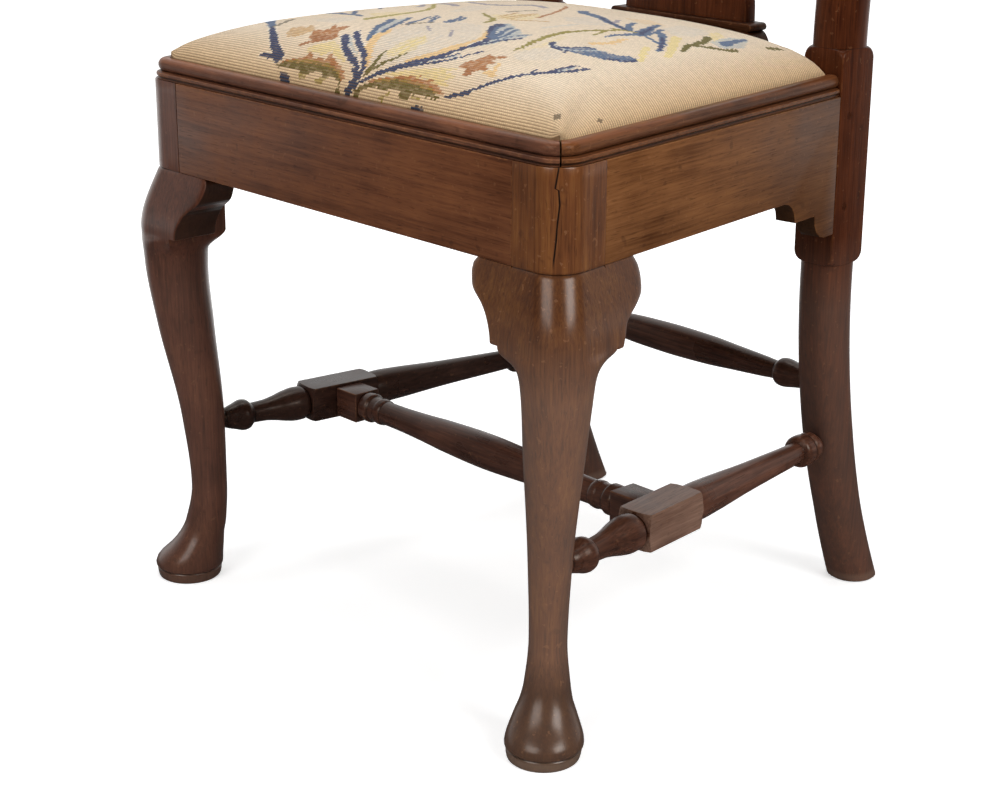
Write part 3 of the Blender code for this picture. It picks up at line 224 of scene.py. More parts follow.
# %% Measure the bend at every point and finish a piece
# The bend at which a point begins to be worn or dirty, and the further bend that makes it fully so,
# in radians per metre
WORN_FROM, WORN_RANGE = 200, 900
DIRTY_FROM, DIRTY_RANGE = 80, 600


def mark_bends(piece):
    """Store how sharply each point bends outwards (worn) and inwards (dirty)."""
    bm = bmesh.new()
    bm.from_mesh(piece.data)
    out, into = np.zeros(len(bm.verts)), np.zeros(len(bm.verts))
    for edge in bm.edges:
        if len(edge.link_faces) == 2:
            near, far = (face.calc_center_median() for face in edge.link_faces)
            bend = edge.calc_face_angle_signed(0) / max((near - far).length, 0.0001)
            for vert in edge.verts:
                out[vert.index] = max(out[vert.index], bend)
                into[vert.index] = max(into[vert.index], -bend)
    bm.free()
    for name, values in (("worn", (out - WORN_FROM) / WORN_RANGE), ("dirty", (into - DIRTY_FROM) / DIRTY_RANGE)):
        store = piece.data.attributes.new(name, "FLOAT", "POINT")
        store.data.foreach_set("value", np.clip(values, 0, 1).astype(np.float32))


def mark_sawn_shaded(piece, test):
    """Mark the faces left from the saw, which were never polished and face down or away. Their dark colour is partly
    painted shade.
    """
    store = piece.data.attributes.new("sawn", "FLOAT", "FACE")
    store.data.foreach_set("value", [1.0 if test(face) else 0.0 for face in piece.data.polygons])


def dress(piece, finish, slot, body, *replaced, angle=35):
    """Give a piece its finish, and say what it rides on and which solids it stands for."""
    pick(piece)
    bpy.ops.object.shade_smooth_by_angle(angle=math.radians(angle))
    piece.data.materials.clear()
    piece.data.materials.append(finish)
    mark_bends(piece)
    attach(piece, body)
    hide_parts(*replaced)
    return piece


# %% [markdown]
# ## Waxed walnut
# Walnut shows wide soft bands, fine dark lines and open pores, all drawn out along the grain.
# Stretched noise gives all three: the pattern is squeezed across the grain and pulled along it.
# Two centuries of wax leave a soft gloss, pale rubbed edges and dark hollows.

# %% Colour and node helpers
def linear(code):
    """An sRGB hex colour as linear light."""
    parts = [int(code[i:i + 2], 16) / 255 for i in (1, 3, 5)]
    return tuple(c / 12.92 if c <= 0.04045 else ((c + 0.055) / 1.055) ** 2.4 for c in parts) + (1.0,)


def fill(tree, node, inputs):
    """Set a node's values and links."""
    for socket, value in inputs.items():
        if isinstance(value, bpy.types.NodeSocket):
            tree.links.new(value, node.inputs[socket])
        else:
            node.inputs[socket].default_value = value


def put(tree, kind, inputs, out=0, stops=(), **settings):
    """Add one shader node with its settings, its values and its links, and give back one of its outputs."""
    node = tree.nodes.new("ShaderNode" + kind)
    for name, value in settings.items():
        setattr(node, name, value)
    fill(tree, node, inputs)
    for k, (spot, colour) in enumerate(stops):
        marks = node.color_ramp.elements
        mark = marks[k] if k < 2 else marks.new(spot)
        mark.position = spot
        mark.color = colour
    return node.outputs[out]


def begin(name):
    """A new material, its node tree and its shader."""
    finish = bpy.data.materials.new(name)
    finish.use_nodes = True
    return finish, finish.node_tree, finish.node_tree.nodes["Principled BSDF"]


# %% Walnut, sawn and planed, then waxed for two centuries
SIDE_TAPER = math.radians(8.73)
ALONG_X = (0, 0, 0)
ALONG_Z = (0, math.pi / 2, 0)
ALONG_SIDE = (0, 0, -math.pi / 2 - SIDE_TAPER)


def walnut(name, dark, middle, light, grain, start, gloss=0.34, wax=0.3, clear=0.1, wear=0.4, amber="#D9A978",
           dust=(0.0, 0.0), stain=0.0, knee=0.0, rubbed_top_highlight=0.0, back_darkening=0.0, chips=0.1, crack=None):
    """Waxed walnut: bands and pores along the grain, pale rubbed edges and dark hollows."""
    finish, tree, shader = begin(name)
    spot = put(tree, "TexCoord", {}, "Object")
    laid = put(tree, "Mapping", {"Vector": spot, "Location": start, "Rotation": grain})
    # Bands 9 mm wide and twelve times as long; lines 1.6 mm apart; pores drawn at 0.8 mm, coarser than
    # the real 0.2 mm so that they show
    noise = {}
    for part, pull, size, detail in (("bands", 0.08, 9.0, 4), ("lines", 0.03, 1.6, 2), ("pores", 0.07, 0.8, 1)):
        stretched = put(tree, "VectorMath", {0: laid, 1: (pull, 1, 1)}, operation="MULTIPLY")
        noise[part] = put(tree, "TexNoise", {"Vector": stretched, "Scale": 1000 / size, "Detail": detail,
                                             "Roughness": 0.55, "Distortion": 0.3}, "Fac")
    # Clouds of tone 45 mm across, knocks of 9 mm and flecks of 4 mm don't follow the grain
    for part, size, detail in (("clouds", 45, 3), ("knocks", 9, 1), ("flecks", 4, 2)):
        noise[part] = put(tree, "TexNoise", {"Vector": laid, "Scale": 1000 / size, "Detail": detail}, "Fac")
    tone = 0.0
    for part, strength in (("bands", 0.22), ("lines", 0.28), ("clouds", 0.24)):
        tone = put(tree, "Math", {0: noise[part], 1: strength, 2: tone}, operation="MULTIPLY_ADD")
    stops = ((0.24, linear(dark)), (0.50, linear(light)), (0.37, linear(middle)))
    colour = put(tree, "ValToRGB", {"Fac": tone}, stops=stops)
    depth, rise = put(tree, "SeparateXYZ", {0: spot}).node.outputs[1:3]
    upward = put(tree, "SeparateXYZ", {0: put(tree, "NewGeometry", {}, "Normal")}, 2)
    # Each measure: what it reads, where it starts, where it is full, and how strong it is there
    share = {}
    for part, source, first, full, most in (
            ("pore", noise["pores"], 0.58, 0.76, 0.5),
            # Knocks, each a few millimetres across, have filled with dark wax
            ("knock", noise["knocks"], 0.69, 0.77, 0.3),
            # From the knee up to the line under the rails the wood is darker
            ("darker_knee", rise, 0.265, 0.325, knee),
            ("under_rail", rise, 0.352, 0.349, 1.0),
            # Below the knee the leg is duller, and the foot is stained and scuffed
            ("dusty", rise, dust[0], dust[0] - 0.06, dust[1]),
            ("stained", rise, 0.075, 0.045, stain),
            ("scuffed", rise, 0.010, 0.006, dust[1]),
            # Towards the back of the chair the wood is darker
            ("toward_back", depth, FACE + 0.17, FACE + 0.31, back_darkening),
            # Here and there a fleck of wax has chipped off, down to the paler wood
            ("chip", noise["flecks"], 0.67, 0.72, chips),
            # Rubbed edges break up where the wax held
            ("bare", noise["flecks"], 0.40, 0.62, 1.0),
            # The upward faces of a moulding are a paler, warmer brown in patches: partly rubbed by hands and cloths,
            # partly a painted highlight
            ("top", upward, 0.30, 0.75, rubbed_top_highlight),
            ("patchy", noise["clouds"], 0.40, 0.60, 1.0)):
        share[part] = put(tree, "MapRange", {"Value": source, "From Min": first, "From Max": full, "To Max": most})
    # Sawn faces are darker: partly unpolished wood, partly painted shade where they face down and away
    for part in ("worn", "dirty", "sawn"):
        share[part] = put(tree, "Attribute", {}, "Fac", attribute_name=part)
    for part, by in (("darker_knee", share["under_rail"]), ("worn", share["bare"]), ("worn", wear), ("top", share["patchy"]),
                     ("dirty", 0.8), ("sawn", 0.72)):
        share[part] = put(tree, "Math", {0: share[part], 1: by}, operation="MULTIPLY")
    height = put(tree, "Math", {0: share["pore"], 1: -1.0, 2: noise["lines"]}, operation="MULTIPLY_ADD")
    layers = {"pore": "#1A0D08", "knock": "#1A0D08", "darker_knee": "#22100A", "dusty": "#8C7A70", "stained": "#2C1D15",
              "scuffed": "#9A8472", "toward_back": "#2A1409", "chip": "#B07C56", "worn": "#94633C", "top": "#8A4C24",
              "dirty": "#140B07", "sawn": "#1C100B"}
    if crack:
        share["split"], layers["split"] = crack(tree, spot), "#0A0504"
        height = put(tree, "Math", {0: share["split"], 1: -6.0, 2: height}, operation="MULTIPLY_ADD")
    # Each layer is laid over the ones before it
    for part, code in layers.items():
        colour = put(tree, "Mix", {0: share[part], 6: colour, 7: linear(code)}, 2, data_type="RGBA")
    rough = put(tree, "MapRange", {"Value": noise["clouds"], "From Min": 0.3, "From Max": 0.7,
                                   "To Min": gloss - 0.06, "To Max": gloss + 0.10})
    for part, more in (("pore", 0.2), ("sawn", 0.45)):
        rough = put(tree, "Math", {0: share[part], 1: more, 2: rough}, operation="MULTIPLY_ADD")
    bump = put(tree, "Bump", {"Height": height, "Strength": 0.25, "Distance": 0.0003})
    # Amber wax soaked into the wood tints its own gloss; a thin clear coat lies over it
    fill(tree, shader, {"Base Color": colour, "Roughness": rough, "Normal": bump, "IOR": 1.5,
                        "Specular IOR Level": wax, "Specular Tint": linear(amber), "Coat Weight": clear,
                        "Coat Roughness": 0.24})
    return finish


# %% [markdown]
# ## The split in the right front post
# The post has opened along its grain from the moulding down, in two runs that just miss each other.
# It is drawn in the finish: a table of height against sideways place, and a dark line around it.

# %% Crack
CORNER_MID = Vector((0.21178, FACE + 0.021, 0))
DIAGONAL = Vector((0.75887, -0.65124, 0))
ACROSS = Vector((0.65124, 0.75887, 0))
CRACK = ((0.356, -3.9), (0.360, -3.6), (0.373, -2.2), (0.383, -1.7), (0.396, -0.3), (0.4054, -1.1),
         (0.4066, -3.3), (0.423, -0.7))


# The table runs over this height, and up to 5 mm to either side
CRACK_LOW, CRACK_HIGH, CRACK_REACH = 0.350, 0.425, 5.0


def post_split(tree, spot):
    """How deep in the crack a point is, from 0 to 1."""
    height = put(tree, "SeparateXYZ", {0: spot}, 2)
    share = put(tree, "MapRange", {"Value": height, "From Min": CRACK_LOW, "From Max": CRACK_HIGH})
    stops = []
    for z, side in CRACK:
        grey = (side + CRACK_REACH) / (2 * CRACK_REACH)
        stops.append(((z - CRACK_LOW) / (CRACK_HIGH - CRACK_LOW), (grey, grey, grey, 1)))
    stops = [stops[0], stops[-1]] + stops[1:-1]
    path = put(tree, "ValToRGB", {"Fac": share}, stops=stops)
    path = put(tree, "MapRange", {"Value": path, "To Min": -CRACK_REACH, "To Max": CRACK_REACH})
    from_mid = put(tree, "VectorMath", {0: spot, 1: CORNER_MID}, operation="SUBTRACT")
    side, front = (put(tree, "VectorMath", {0: from_mid, 1: way * 1000}, 1, operation="DOT_PRODUCT")
                   for way in (ACROSS, DIAGONAL))
    miss = put(tree, "Math", {0: side, 1: path}, operation="SUBTRACT")
    miss = put(tree, "Math", {0: miss}, operation="ABSOLUTE")
    # The line is about a millimetre wide. It shows on the round corner only, and closes just above the knee
    line = 1.0
    for source, first, full in ((miss, 0.75, 0.35), (front, 8.0, 10.0), (height, 0.353, 0.360)):
        part = put(tree, "MapRange", {"Value": source, "From Min": first, "From Max": full})
        line = put(tree, "Math", {0: line, 1: part}, operation="MULTIPLY")
    return line


# %% The walnut of each group of pieces
front_rail_wood = walnut("walnut_planed_front_rail", "#412112", "#643A23", "#7A4A2C", ALONG_X, (0.1, 0, 0),
                         gloss=0.42, wax=0.16)
side_rail_wood = walnut("walnut_planed_side_rail", "#4A2911", "#6E4526", "#865833", ALONG_SIDE, (0.3, 0.1, 0),
                        gloss=0.42, wax=0.14, back_darkening=0.45)
# The left leg and its brackets take a darker walnut than the right: painted shade on the side away from the light
shaded_left_leg_wood = walnut("walnut_carved_leg", "#32180F", "#542D1F", "#6A3E2B", ALONG_Z, (0.2, 0.3, 0), clear=0.6, wear=0.2,
                  dust=(0.31, 0.10), stain=0.20, knee=0.1)
split_leg_wood = walnut("walnut_carved_leg_split", "#3C1E0E", "#65391B", "#805026", ALONG_Z, (0.2, 0.3, 0), clear=0.6,
                        wear=0.2, dust=(0.325, 0.27), stain=0.60, knee=0.4, chips=0.18, crack=post_split)
rim_wood = walnut("walnut_moulded_rim", "#3A231A", "#603C2D", "#82553D", ALONG_X, (0.5, 0, 0.2), wax=0.24, rubbed_top_highlight=0.3)
side_rim_wood = walnut("walnut_moulded_side_rim", "#321A0E", "#55321D", "#75482A", ALONG_SIDE, (0.5, 0, 0.2),
                       wax=0.24, rubbed_top_highlight=0.3)
post_wood = walnut("walnut_planed_post", "#260C06", "#45200F", "#5E2F18", ALONG_Z, (0.7, 0, 0.4), wax=0.12, wear=0.12,
                   dust=(0.31, 0.18))
back_wood = walnut("walnut_planed_crest", "#1C0A05", "#301709", "#452413", ALONG_X, (0.9, 0, 0.4), wax=0.14, wear=0.3)
# The stretchers' wax is paler, so their gloss is nearly white
PALE_WAX = "#F4E2CF"
turned_wood = walnut("walnut_turned_side", "#2A1610", "#503023", "#704736", ALONG_SIDE, (1.1, 0, 0.6), gloss=0.28,
                     wear=0.3, amber=PALE_WAX)
block_wood = walnut("walnut_planed_stretcher_block", "#452B20", "#745647", "#8C6C5B", ALONG_SIDE, (1.1, 0, 0.6),
                    wear=0.3, amber=PALE_WAX)
# The far side stretcher's walnut is darker than the near one's: painted shade under the seat
shaded_far_turned_wood = walnut("walnut_turned_far_side_shaded", "#190E0A", "#2F1C16", "#432B22", ALONG_SIDE, (1.7, 0, 0.6),
                         gloss=0.28, wear=0.3, amber=PALE_WAX)
cross_wood = walnut("walnut_turned_cross", "#221310", "#42281F", "#5E3B2D", ALONG_X, (1.3, 0, 0.6), gloss=0.28,
                    wear=0.3, amber=PALE_WAX)
print("walnut finishes made")

# %% [markdown]
# ## Front legs
# Each leg is one piece of wood from the pad foot to the square post that the rails join.
# The section is an oval whose middle sways in and out along the diagonal. It grows into the knee,
# then into the square post. The rings are close together, so the long curve stays clean.

# %% Sizes of the seat frame and the leg
HALF_FRONT = 0.4725 / 2
RAIL_LOW, RAIL_TOP = 0.350, 0.420
POST_FRONT, POST_SIDE, POST_ROUND = 0.0457, 0.0485, 0.021
SIN_T, COS_T = math.sin(SIDE_TAPER), math.cos(SIDE_TAPER)
FOOT = Vector((HALF_FRONT - 0.0201, 0.010, 0))
KNEE_START, KNEE_LINE, KNEE_FOOT = 0.857, 0.2986, 0.2815
# The knee's corner is rounder than the post's by 3 mm, which fades out over this share of the height
KNEE_ROUND, KNEE_FADE = 0.003, 0.149
# Each station: share of the height, lean along the diagonal, shift across it, half depth, half width
LEG_STATIONS = (
    (0.000, 0.0000, 0.0000, 0.0255, 0.0255),
    (0.035, 0.0000, 0.0005, 0.0280, 0.0280),
    (0.085, -0.0080, 0.0015, 0.0212, 0.0224),
    (0.110, -0.0116, 0.0022, 0.0183, 0.0188),
    (0.140, -0.0150, 0.0030, 0.0168, 0.0165),
    (0.230, -0.0190, 0.0035, 0.0147, 0.0136),
    (0.400, -0.0160, 0.0040, 0.0175, 0.0155),
    (0.630, -0.0045, 0.0050, 0.0230, 0.0210),
    (0.780, 0.0010, 0.0060, 0.0255, 0.0250),
    (0.810, 0.0010, 0.0060, 0.0261, 0.0273),
    (0.830, 0.0010, 0.0060, 0.0266, 0.0308),
    (0.842, 0.0009, 0.0060, 0.0268, 0.0355),
    (0.853, 0.0008, 0.0060, 0.0271, 0.0394),
    (0.870, 0.0005, 0.0060, 0.0274, 0.0405),
    (1.000, -0.0060, 0.0060, 0.0274, 0.0420),
)
LEG_CURVE = smooth(LEG_STATIONS)


def side_point(distance, inward, height=0.0):
    """A point on the right side: distance from the front corner, distance in from the face, height."""
    return Vector((HALF_FRONT - distance * SIN_T - inward * COS_T, distance * COS_T - inward * SIN_T, height))


FRONT_NORMAL, SIDE_NORMAL = Vector((0, -1, 0)), Vector((COS_T, SIN_T, 0))
GLUE_FRONT = (Vector((HALF_FRONT - POST_FRONT, 0, 0)), Vector((-1, 0, 0)))
GLUE_SIDE = (side_point(POST_SIDE, 0), Vector((-SIN_T, COS_T, 0)))
POST_MIDDLE = CORNER_MID - SHIFT
POST_INNER = Vector((HALF_FRONT - POST_FRONT, (POST_SIDE - POST_FRONT * SIN_T) / COS_T, 0))


# %% The knee: square like the post, with its faces swelling out
SPREAD = 1 / DIAGONAL.dot(SIDE_NORMAL)
FULL_TURN = math.pi / 2 + SIDE_TAPER


def leg_centre(share):
    """The middle of the right leg's section at a share of its height."""
    lean, shift = LEG_CURVE(share)[:2]
    return FOOT + DIAGONAL * lean + ACROSS * shift


def knee_swell(height):
    """How far the knee's faces stand out from the post's, and the round of its corner."""
    share = min(max(height, KNEE_FOOT), RAIL_LOW) / RAIL_LOW
    out = (leg_centre(share) - POST_MIDDLE).dot(DIAGONAL) + LEG_CURVE(share)[2] - POST_ROUND
    out *= 1 - max(0.0, (share - KNEE_START) / (1 - KNEE_START)) ** 2.2
    corner = POST_ROUND + KNEE_ROUND * min((1 - share) / KNEE_FADE, 1)
    return (out + (SPREAD - 1) * (corner - POST_ROUND)) / SPREAD, corner


def knee_ring(height):
    """A ring with two flat outer faces, a round corner between them, and flat seats for the brackets."""
    swell, corner = knee_swell(height)
    middle = POST_MIDDLE + DIAGONAL * SPREAD * (swell - corner + POST_ROUND)
    front_end = GLUE_FRONT[0] + FRONT_NORMAL * swell
    side_end = GLUE_SIDE[0] + SIDE_NORMAL * swell
    path = [front_end.lerp(middle + FRONT_NORMAL * corner, t) for t in np.linspace(0, 1, 12)]
    path += [middle + Vector((math.sin(a), -math.cos(a), 0)) * corner for a in np.linspace(0, FULL_TURN, 22)[1:-1]]
    path += [side_end.lerp(middle + SIDE_NORMAL * corner, t) for t in np.linspace(1, 0, 12)]
    path += [side_end.lerp(POST_INNER, t) for t in np.linspace(0, 1, 11)[1:]]
    return path + [POST_INNER.lerp(front_end, t) for t in np.linspace(0, 1, 11)[1:-1]]


# %% Rings up the leg, then the legs themselves
SPOKES = []
for spot in knee_ring(KNEE_LINE):
    spoke = spot - leg_centre(KNEE_LINE / RAIL_LOW)
    SPOKES.append(math.atan2(spoke.dot(ACROSS), spoke.dot(DIAGONAL)))


def leg_ring(height, shrink=0.0):
    """One ring around the right leg: an oval below, easing into the square knee and post."""
    share = min(height / RAIL_LOW, 1)
    centre = leg_centre(share)
    depth, width = LEG_CURVE(share)[2:]
    squared = eased((height - KNEE_FOOT) / (KNEE_LINE - KNEE_FOOT))
    ring = []
    for angle, square in zip(SPOKES, knee_ring(height)):
        reach = 1 / math.hypot(math.cos(angle) / depth, math.sin(angle) / width)
        spot = centre + (DIAGONAL * math.cos(angle) + ACROSS * math.sin(angle)) * reach
        spot = spot.lerp(square, squared)
        spot += (centre - spot).normalized() * shrink
        ring.append(Vector((spot.x, spot.y, height)))
    return ring


# The pad under the foot is turned, with a fine line between it and the foot
leg_rings = [leg_ring(z, cut) for z, cut in
             ((0.0, 0.0010), (0.0007, 0.0003), (0.0018, 0.0), (0.0050, 0.0002), (0.0078, 0.0006),
              (0.0086, 0.0013), (0.0094, 0.0008), (0.0104, 0.0001))]
leg_rings += [leg_ring(z) for z in np.arange(0.0125, 0.2805, 0.0035)]
leg_rings += [leg_ring(z) for z in np.arange(0.2812, 0.3486, 0.00145)]
# The knee stops at a crisp line, a hair inside the post and rails above it
leg_rings += [leg_ring(z, cut) for z, cut in
              ((0.3492, 0.0005), (0.3497, 0.0009), (0.3501, 0.0005), (0.3507, 0.0), (0.3600, 0.0),
               (0.3850, 0.0), (0.4100, 0.0), (0.4191, 0.0), (0.4198, 0.0004))]
dress(lofted("front_leg_right_carved", leg_rings), split_leg_wood, "walnut", "frame", "front_leg_right")
# The left leg takes the darker walnut, as painted shade
dress(lofted("front_leg_left_carved", mirrored(leg_rings)), shaded_left_leg_wood, "walnut", "frame", "front_leg_left")
print("leg rings:", len(leg_rings))

# %% [markdown]
# ## Knee brackets
# A small sawn bracket is glued on each side of the knee, so that the curve runs on under the rail.
# Its outline is sawn; its face is carved to carry on the knee's swell.

# %% Brackets
# Outlines from the foot up: a count, the drop below the rail and the width from the leg, in millimetres
FRONT_SAWN = smooth(((0, 51.6, 6.6), (1, 51.0, 7.8), (2, 47.0, 8.4), (3, 43.0, 9.6), (4, 39.5, 11.2), (5, 34.0, 14.6),
                     (6, 30.5, 17.6), (7, 27.0, 21.4), (8, 24.3, 25.2), (9, 22.0, 28.6), (10, 20.0, 31.0),
                     (11, 17.5, 33.0), (12, 12.5, 35.3), (13, 8.0, 36.6), (14, 4.5, 36.6), (15, 2.0, 35.3),
                     (16, 0.1, 33.6)))
SIDE_SAWN = smooth(((0, 55.1, 5.8), (1, 54.5, 7.0), (2, 51.0, 8.0), (3, 47.5, 9.0), (4, 44.0, 9.8), (5, 40.5, 11.2),
                    (6, 37.0, 14.4), (7, 33.5, 20.0), (8, 30.5, 24.8), (9, 28.0, 28.3), (10, 25.5, 31.3),
                    (11, 23.0, 33.4), (12, 16.5, 35.6), (13, 11.0, 36.4), (14, 7.0, 36.2), (15, 3.5, 35.0),
                    (16, 0.1, 33.2)))
# The left side bracket has lost its tip
BROKEN = smooth(((0, 55.1, 5.8), (2, 51.0, 8.0), (4, 44.0, 9.8), (6, 38.0, 11.8), (7, 35.0, 13.6), (8, 32.0, 14.2),
                 (9, 28.0, 15.6), (10, 24.0, 15.2), (12, 16.0, 17.0), (14, 8.0, 18.6), (15, 4.0, 18.2),
                 (16, 0.1, 19.5)))


def bracket_rings(outline, thick, face, outward):
    """Rings from the bracket's foot up to the rail, its face carrying on the knee's."""
    seat_edge, rail_way = face
    rings = []
    for step in np.linspace(0, 16, 81):
        drop, width = outline(step) / 1000
        height = RAIL_LOW - drop
        swell = knee_swell(height)[0]
        section = [(0.0, -thick), (width * 0.5, -thick), (width - 0.0005, -thick), (width, 0.0005 - thick)]
        for spot in (1.0, 0.985, 0.965, 0.94, 0.90, 0.84, 0.75, 0.6, 0.4, 0.2, 0.0):
            section.append((spot * width, swell - 0.0012 * spot ** 20))
        place = seat_edge + rail_way * 0.00003 + Vector((0, 0, height))
        rings.append([place + rail_way * u + outward * w for u, w in section])
    return rings


FRONT_THICK, SIDE_THICK = 0.0262, 0.0120
front_rings = bracket_rings(FRONT_SAWN, FRONT_THICK, GLUE_FRONT, FRONT_NORMAL)
side_rings = bracket_rings(SIDE_SAWN, SIDE_THICK, GLUE_SIDE, SIDE_NORMAL)
broken_rings = bracket_rings(BROKEN, SIDE_THICK, GLUE_SIDE, SIDE_NORMAL)
for part, label, rings in (("front", "right", front_rings), ("front", "left", mirrored(front_rings)),
                           ("side", "right", side_rings), ("side", "left", mirrored(broken_rings))):
    node = "knee_bracket_%s_%s" % (part, label)
    piece = lofted(node + "_carved", rings)
    face, outward = (GLUE_FRONT[1], FRONT_NORMAL) if part == "front" else (GLUE_SIDE[1], SIDE_NORMAL)
    hand = Vector((1, 1, 1) if label == "right" else (-1, 1, 1))
    # The sawn outline and back are darker, partly as painted shade
    mark_sawn_shaded(piece, lambda f: f.normal.dot(face * hand) > 0.6 or f.normal.dot(outward * hand) < -0.6)
    dress(piece, split_leg_wood if label == "right" else shaded_left_leg_wood, "walnut", "frame", node)

# %% [markdown]
# ## Seat rails, pegs and corner blocks
# These are sawn and planed. Their solids have the right shape, so each is copied and its edges broken.

# %% Rails, pegs and blocks
PLANED_EDGE, PEG_EDGE = 0.0007, 0.0004
for node in ("seat_rail_front", "seat_rail_rear"):
    dress(softened(node, PLANED_EDGE), front_rail_wood, "walnut", "frame", node)
# Behind the shaped drop at the rear end of each side rail the wood is cut away to 17 mm
DROP_THICK, WASTE_WIDTH, WASTE_LENGTH, WASTE_HEIGHT = 0.017, 0.040, 0.150, 0.060
for label, hand in (("right", 1), ("left", -1)):
    node = "seat_rail_" + label
    middle = side_point(0.33, DROP_THICK + WASTE_WIDTH / 2, RAIL_LOW - WASTE_HEIGHT / 2 - 0.0001) + SHIFT
    waste = fresh("waste", bpy.ops.mesh.primitive_cube_add, size=1, location=(hand * middle.x, middle.y, middle.z),
                  rotation=(0, 0, hand * SIDE_TAPER), scale=(WASTE_WIDTH, WASTE_LENGTH, WASTE_HEIGHT))
    piece = softened(node, PLANED_EDGE, waste=waste)
    outward = Vector((hand * COS_T, SIN_T, 0))
    # The drop's underside and inner faces are darker, partly as painted shade
    mark_sawn_shaded(piece, lambda f: f.center.z < RAIL_LOW + 0.001 and f.normal.dot(outward) < 0.5)
    dress(piece, side_rail_wood, "walnut", "frame", node)
for label in ("left", "right"):
    for level_name in ("upper", "lower"):
        node = "rail_peg_%s_%s" % (level_name, label)
        dress(softened(node, PEG_EDGE, 2), back_wood, "dark_walnut", "frame", node)

# %% [markdown]
# ## Rim moulding
# The moulding stands on the rails and keeps the loose seat in place: a small bead, a quirk,
# and a rounded nose above. It is mitred on the diagonal of each front corner, and the right mitre has opened.

# %% Moulding profile and its run round the corners
# The nose: the middle of its round, in from the rail's face and up from the rail, and its radius
NOSE_IN, NOSE_UP, NOSE_ROUND = 0.0080, 0.0104, 0.0050


def rim_profile():
    """Section as (distance in from the rail's face, height above the rail)."""
    points = [(0.0016, 0.0002), (0.0024, 0.0010), (0.0024, 0.0016), (0.0017, 0.0023), (0.0013, 0.0027),
              (0.0012, 0.0037), (0.0014, 0.0046), (0.0019, 0.0050), (0.0029, 0.0052), (0.0033, 0.0055)]
    for a in np.radians(np.linspace(-62, 90, 18)):
        points.append((NOSE_IN - NOSE_ROUND * math.cos(a), NOSE_UP + NOSE_ROUND * math.sin(a)))
    return points + [(0.0105, 0.0154), (0.0120, 0.0153), (0.0125, 0.0148), (0.0125, 0.0080), (0.0125, 0.0003)]


def rim_section(angle, slide):
    """The profile part-way round the front corner, turned from the front face."""
    way = Vector((math.sin(angle), -math.cos(angle), 0))
    return [POST_MIDDLE + way * (POST_ROUND - inset) + slide + Vector((0, 0, RAIL_TOP + height))
            for inset, height in rim_profile()]


HALF_TURN = FULL_TURN / 2
still = Vector((0, 0, 0))
opened, closed = ACROSS * 0.0006, ACROSS * 0.00025
turns = np.linspace(0, HALF_TURN, 15)
front_run = [rim_section(a, still) for a in turns]
right_end = front_run[:-1] + [rim_section(HALF_TURN, -opened)]
left_end = mirrored(front_run[:-1] + [rim_section(HALF_TURN, -closed)])
straight = [[a.lerp(b, t) for a, b in zip(left_end[0], right_end[0])] for t in np.linspace(0, 1, 31)[1:-1]]
rim_front = left_end[::-1] + straight + right_end
dress(lofted("rim_moulding_front_run", rim_front), rim_wood, "walnut", "frame", "rim_moulding_front")
RIM_END = 0.34397 - 0.0003
rear = [side_point((RIM_END + inset * SIN_T) / COS_T, inset, RAIL_TOP + height)
        for inset, height in rim_profile()]
for label, gap in (("right", opened), ("left", closed)):
    run = [rim_section(HALF_TURN, gap)] + [rim_section(a, still) for a in np.linspace(HALF_TURN, FULL_TURN, 15)[1:]]
    run += [[a.lerp(b, t) for a, b in zip(run[-1], rear)] for t in np.linspace(0, 1, 24)[1:]]
    run = run if label == "right" else mirrored(run)
    dress(lofted("rim_moulding_%s_run" % label, run), side_rim_wood, "walnut", "frame", "rim_moulding_" + label)
print("moulding rings:", len(rim_front))

# %% [markdown]
# ## Rear posts
# A rear post is one raked length of walnut. It is nearly round below, left square where the rails
# join, and rounded off above, with a short stop where square turns to round.

# %% Posts
POST_HALF, POST_ALONG = 0.0376 / 2, 0.348
POST_MID = Vector((HALF_FRONT - POST_ALONG * SIN_T - POST_HALF, POST_ALONG * COS_T + POST_HALF, 0))
BLOCK_LOW, BLOCK_HIGH, POST_TOP = 0.286, 0.450, 0.935
# Below its block the post leans in and back; above it, it leans back and thins from this height on
LEG_SPLAY, LEG_RAKE, BACK_LEAN, THIN_FROM = 0.0046, 0.064, 0.070, 0.56
ROUND_CORNER, SQUARE_CORNER, STOP = 0.0150, 0.0012, 0.009
FOOT_SWELL, FOOT_EDGE = 0.0012, 0.0015
CREST_HALF_DEPTH = 0.013


def rounded_ring(centre, half_x, half_y, corner, steps=7):
    """A rectangle of points with rounded corners, level at the centre's height."""
    corner = min(corner, half_x, half_y)
    ring = []
    for sx, sy, start in ((1, 1, 0), (-1, 1, 90), (-1, -1, 180), (1, -1, 270)):
        for a in np.radians(np.linspace(start, start + 90, steps)):
            x = sx * (half_x - corner) + corner * math.cos(a)
            y = sy * (half_y - corner) + corner * math.sin(a)
            ring.append(Vector((centre[0] + x, centre[1] + y, centre[2])))
    return ring


def back_offset(height):
    """How far the back leans behind its lower block, smooth at both ends."""
    return BACK_LEAN * eased((height - BLOCK_HIGH) / (POST_TOP - BLOCK_HIGH))


def below_block(height):
    """How far down the rear leg a height is: 0 at its block and above, 1 at the floor."""
    return max(0, (BLOCK_LOW - height) / BLOCK_LOW)


def post_middle(height):
    """The middle of the right rear post at a height."""
    u = below_block(height)
    return POST_MID + Vector((-LEG_SPLAY * u, LEG_RAKE * u * u + back_offset(height), height))


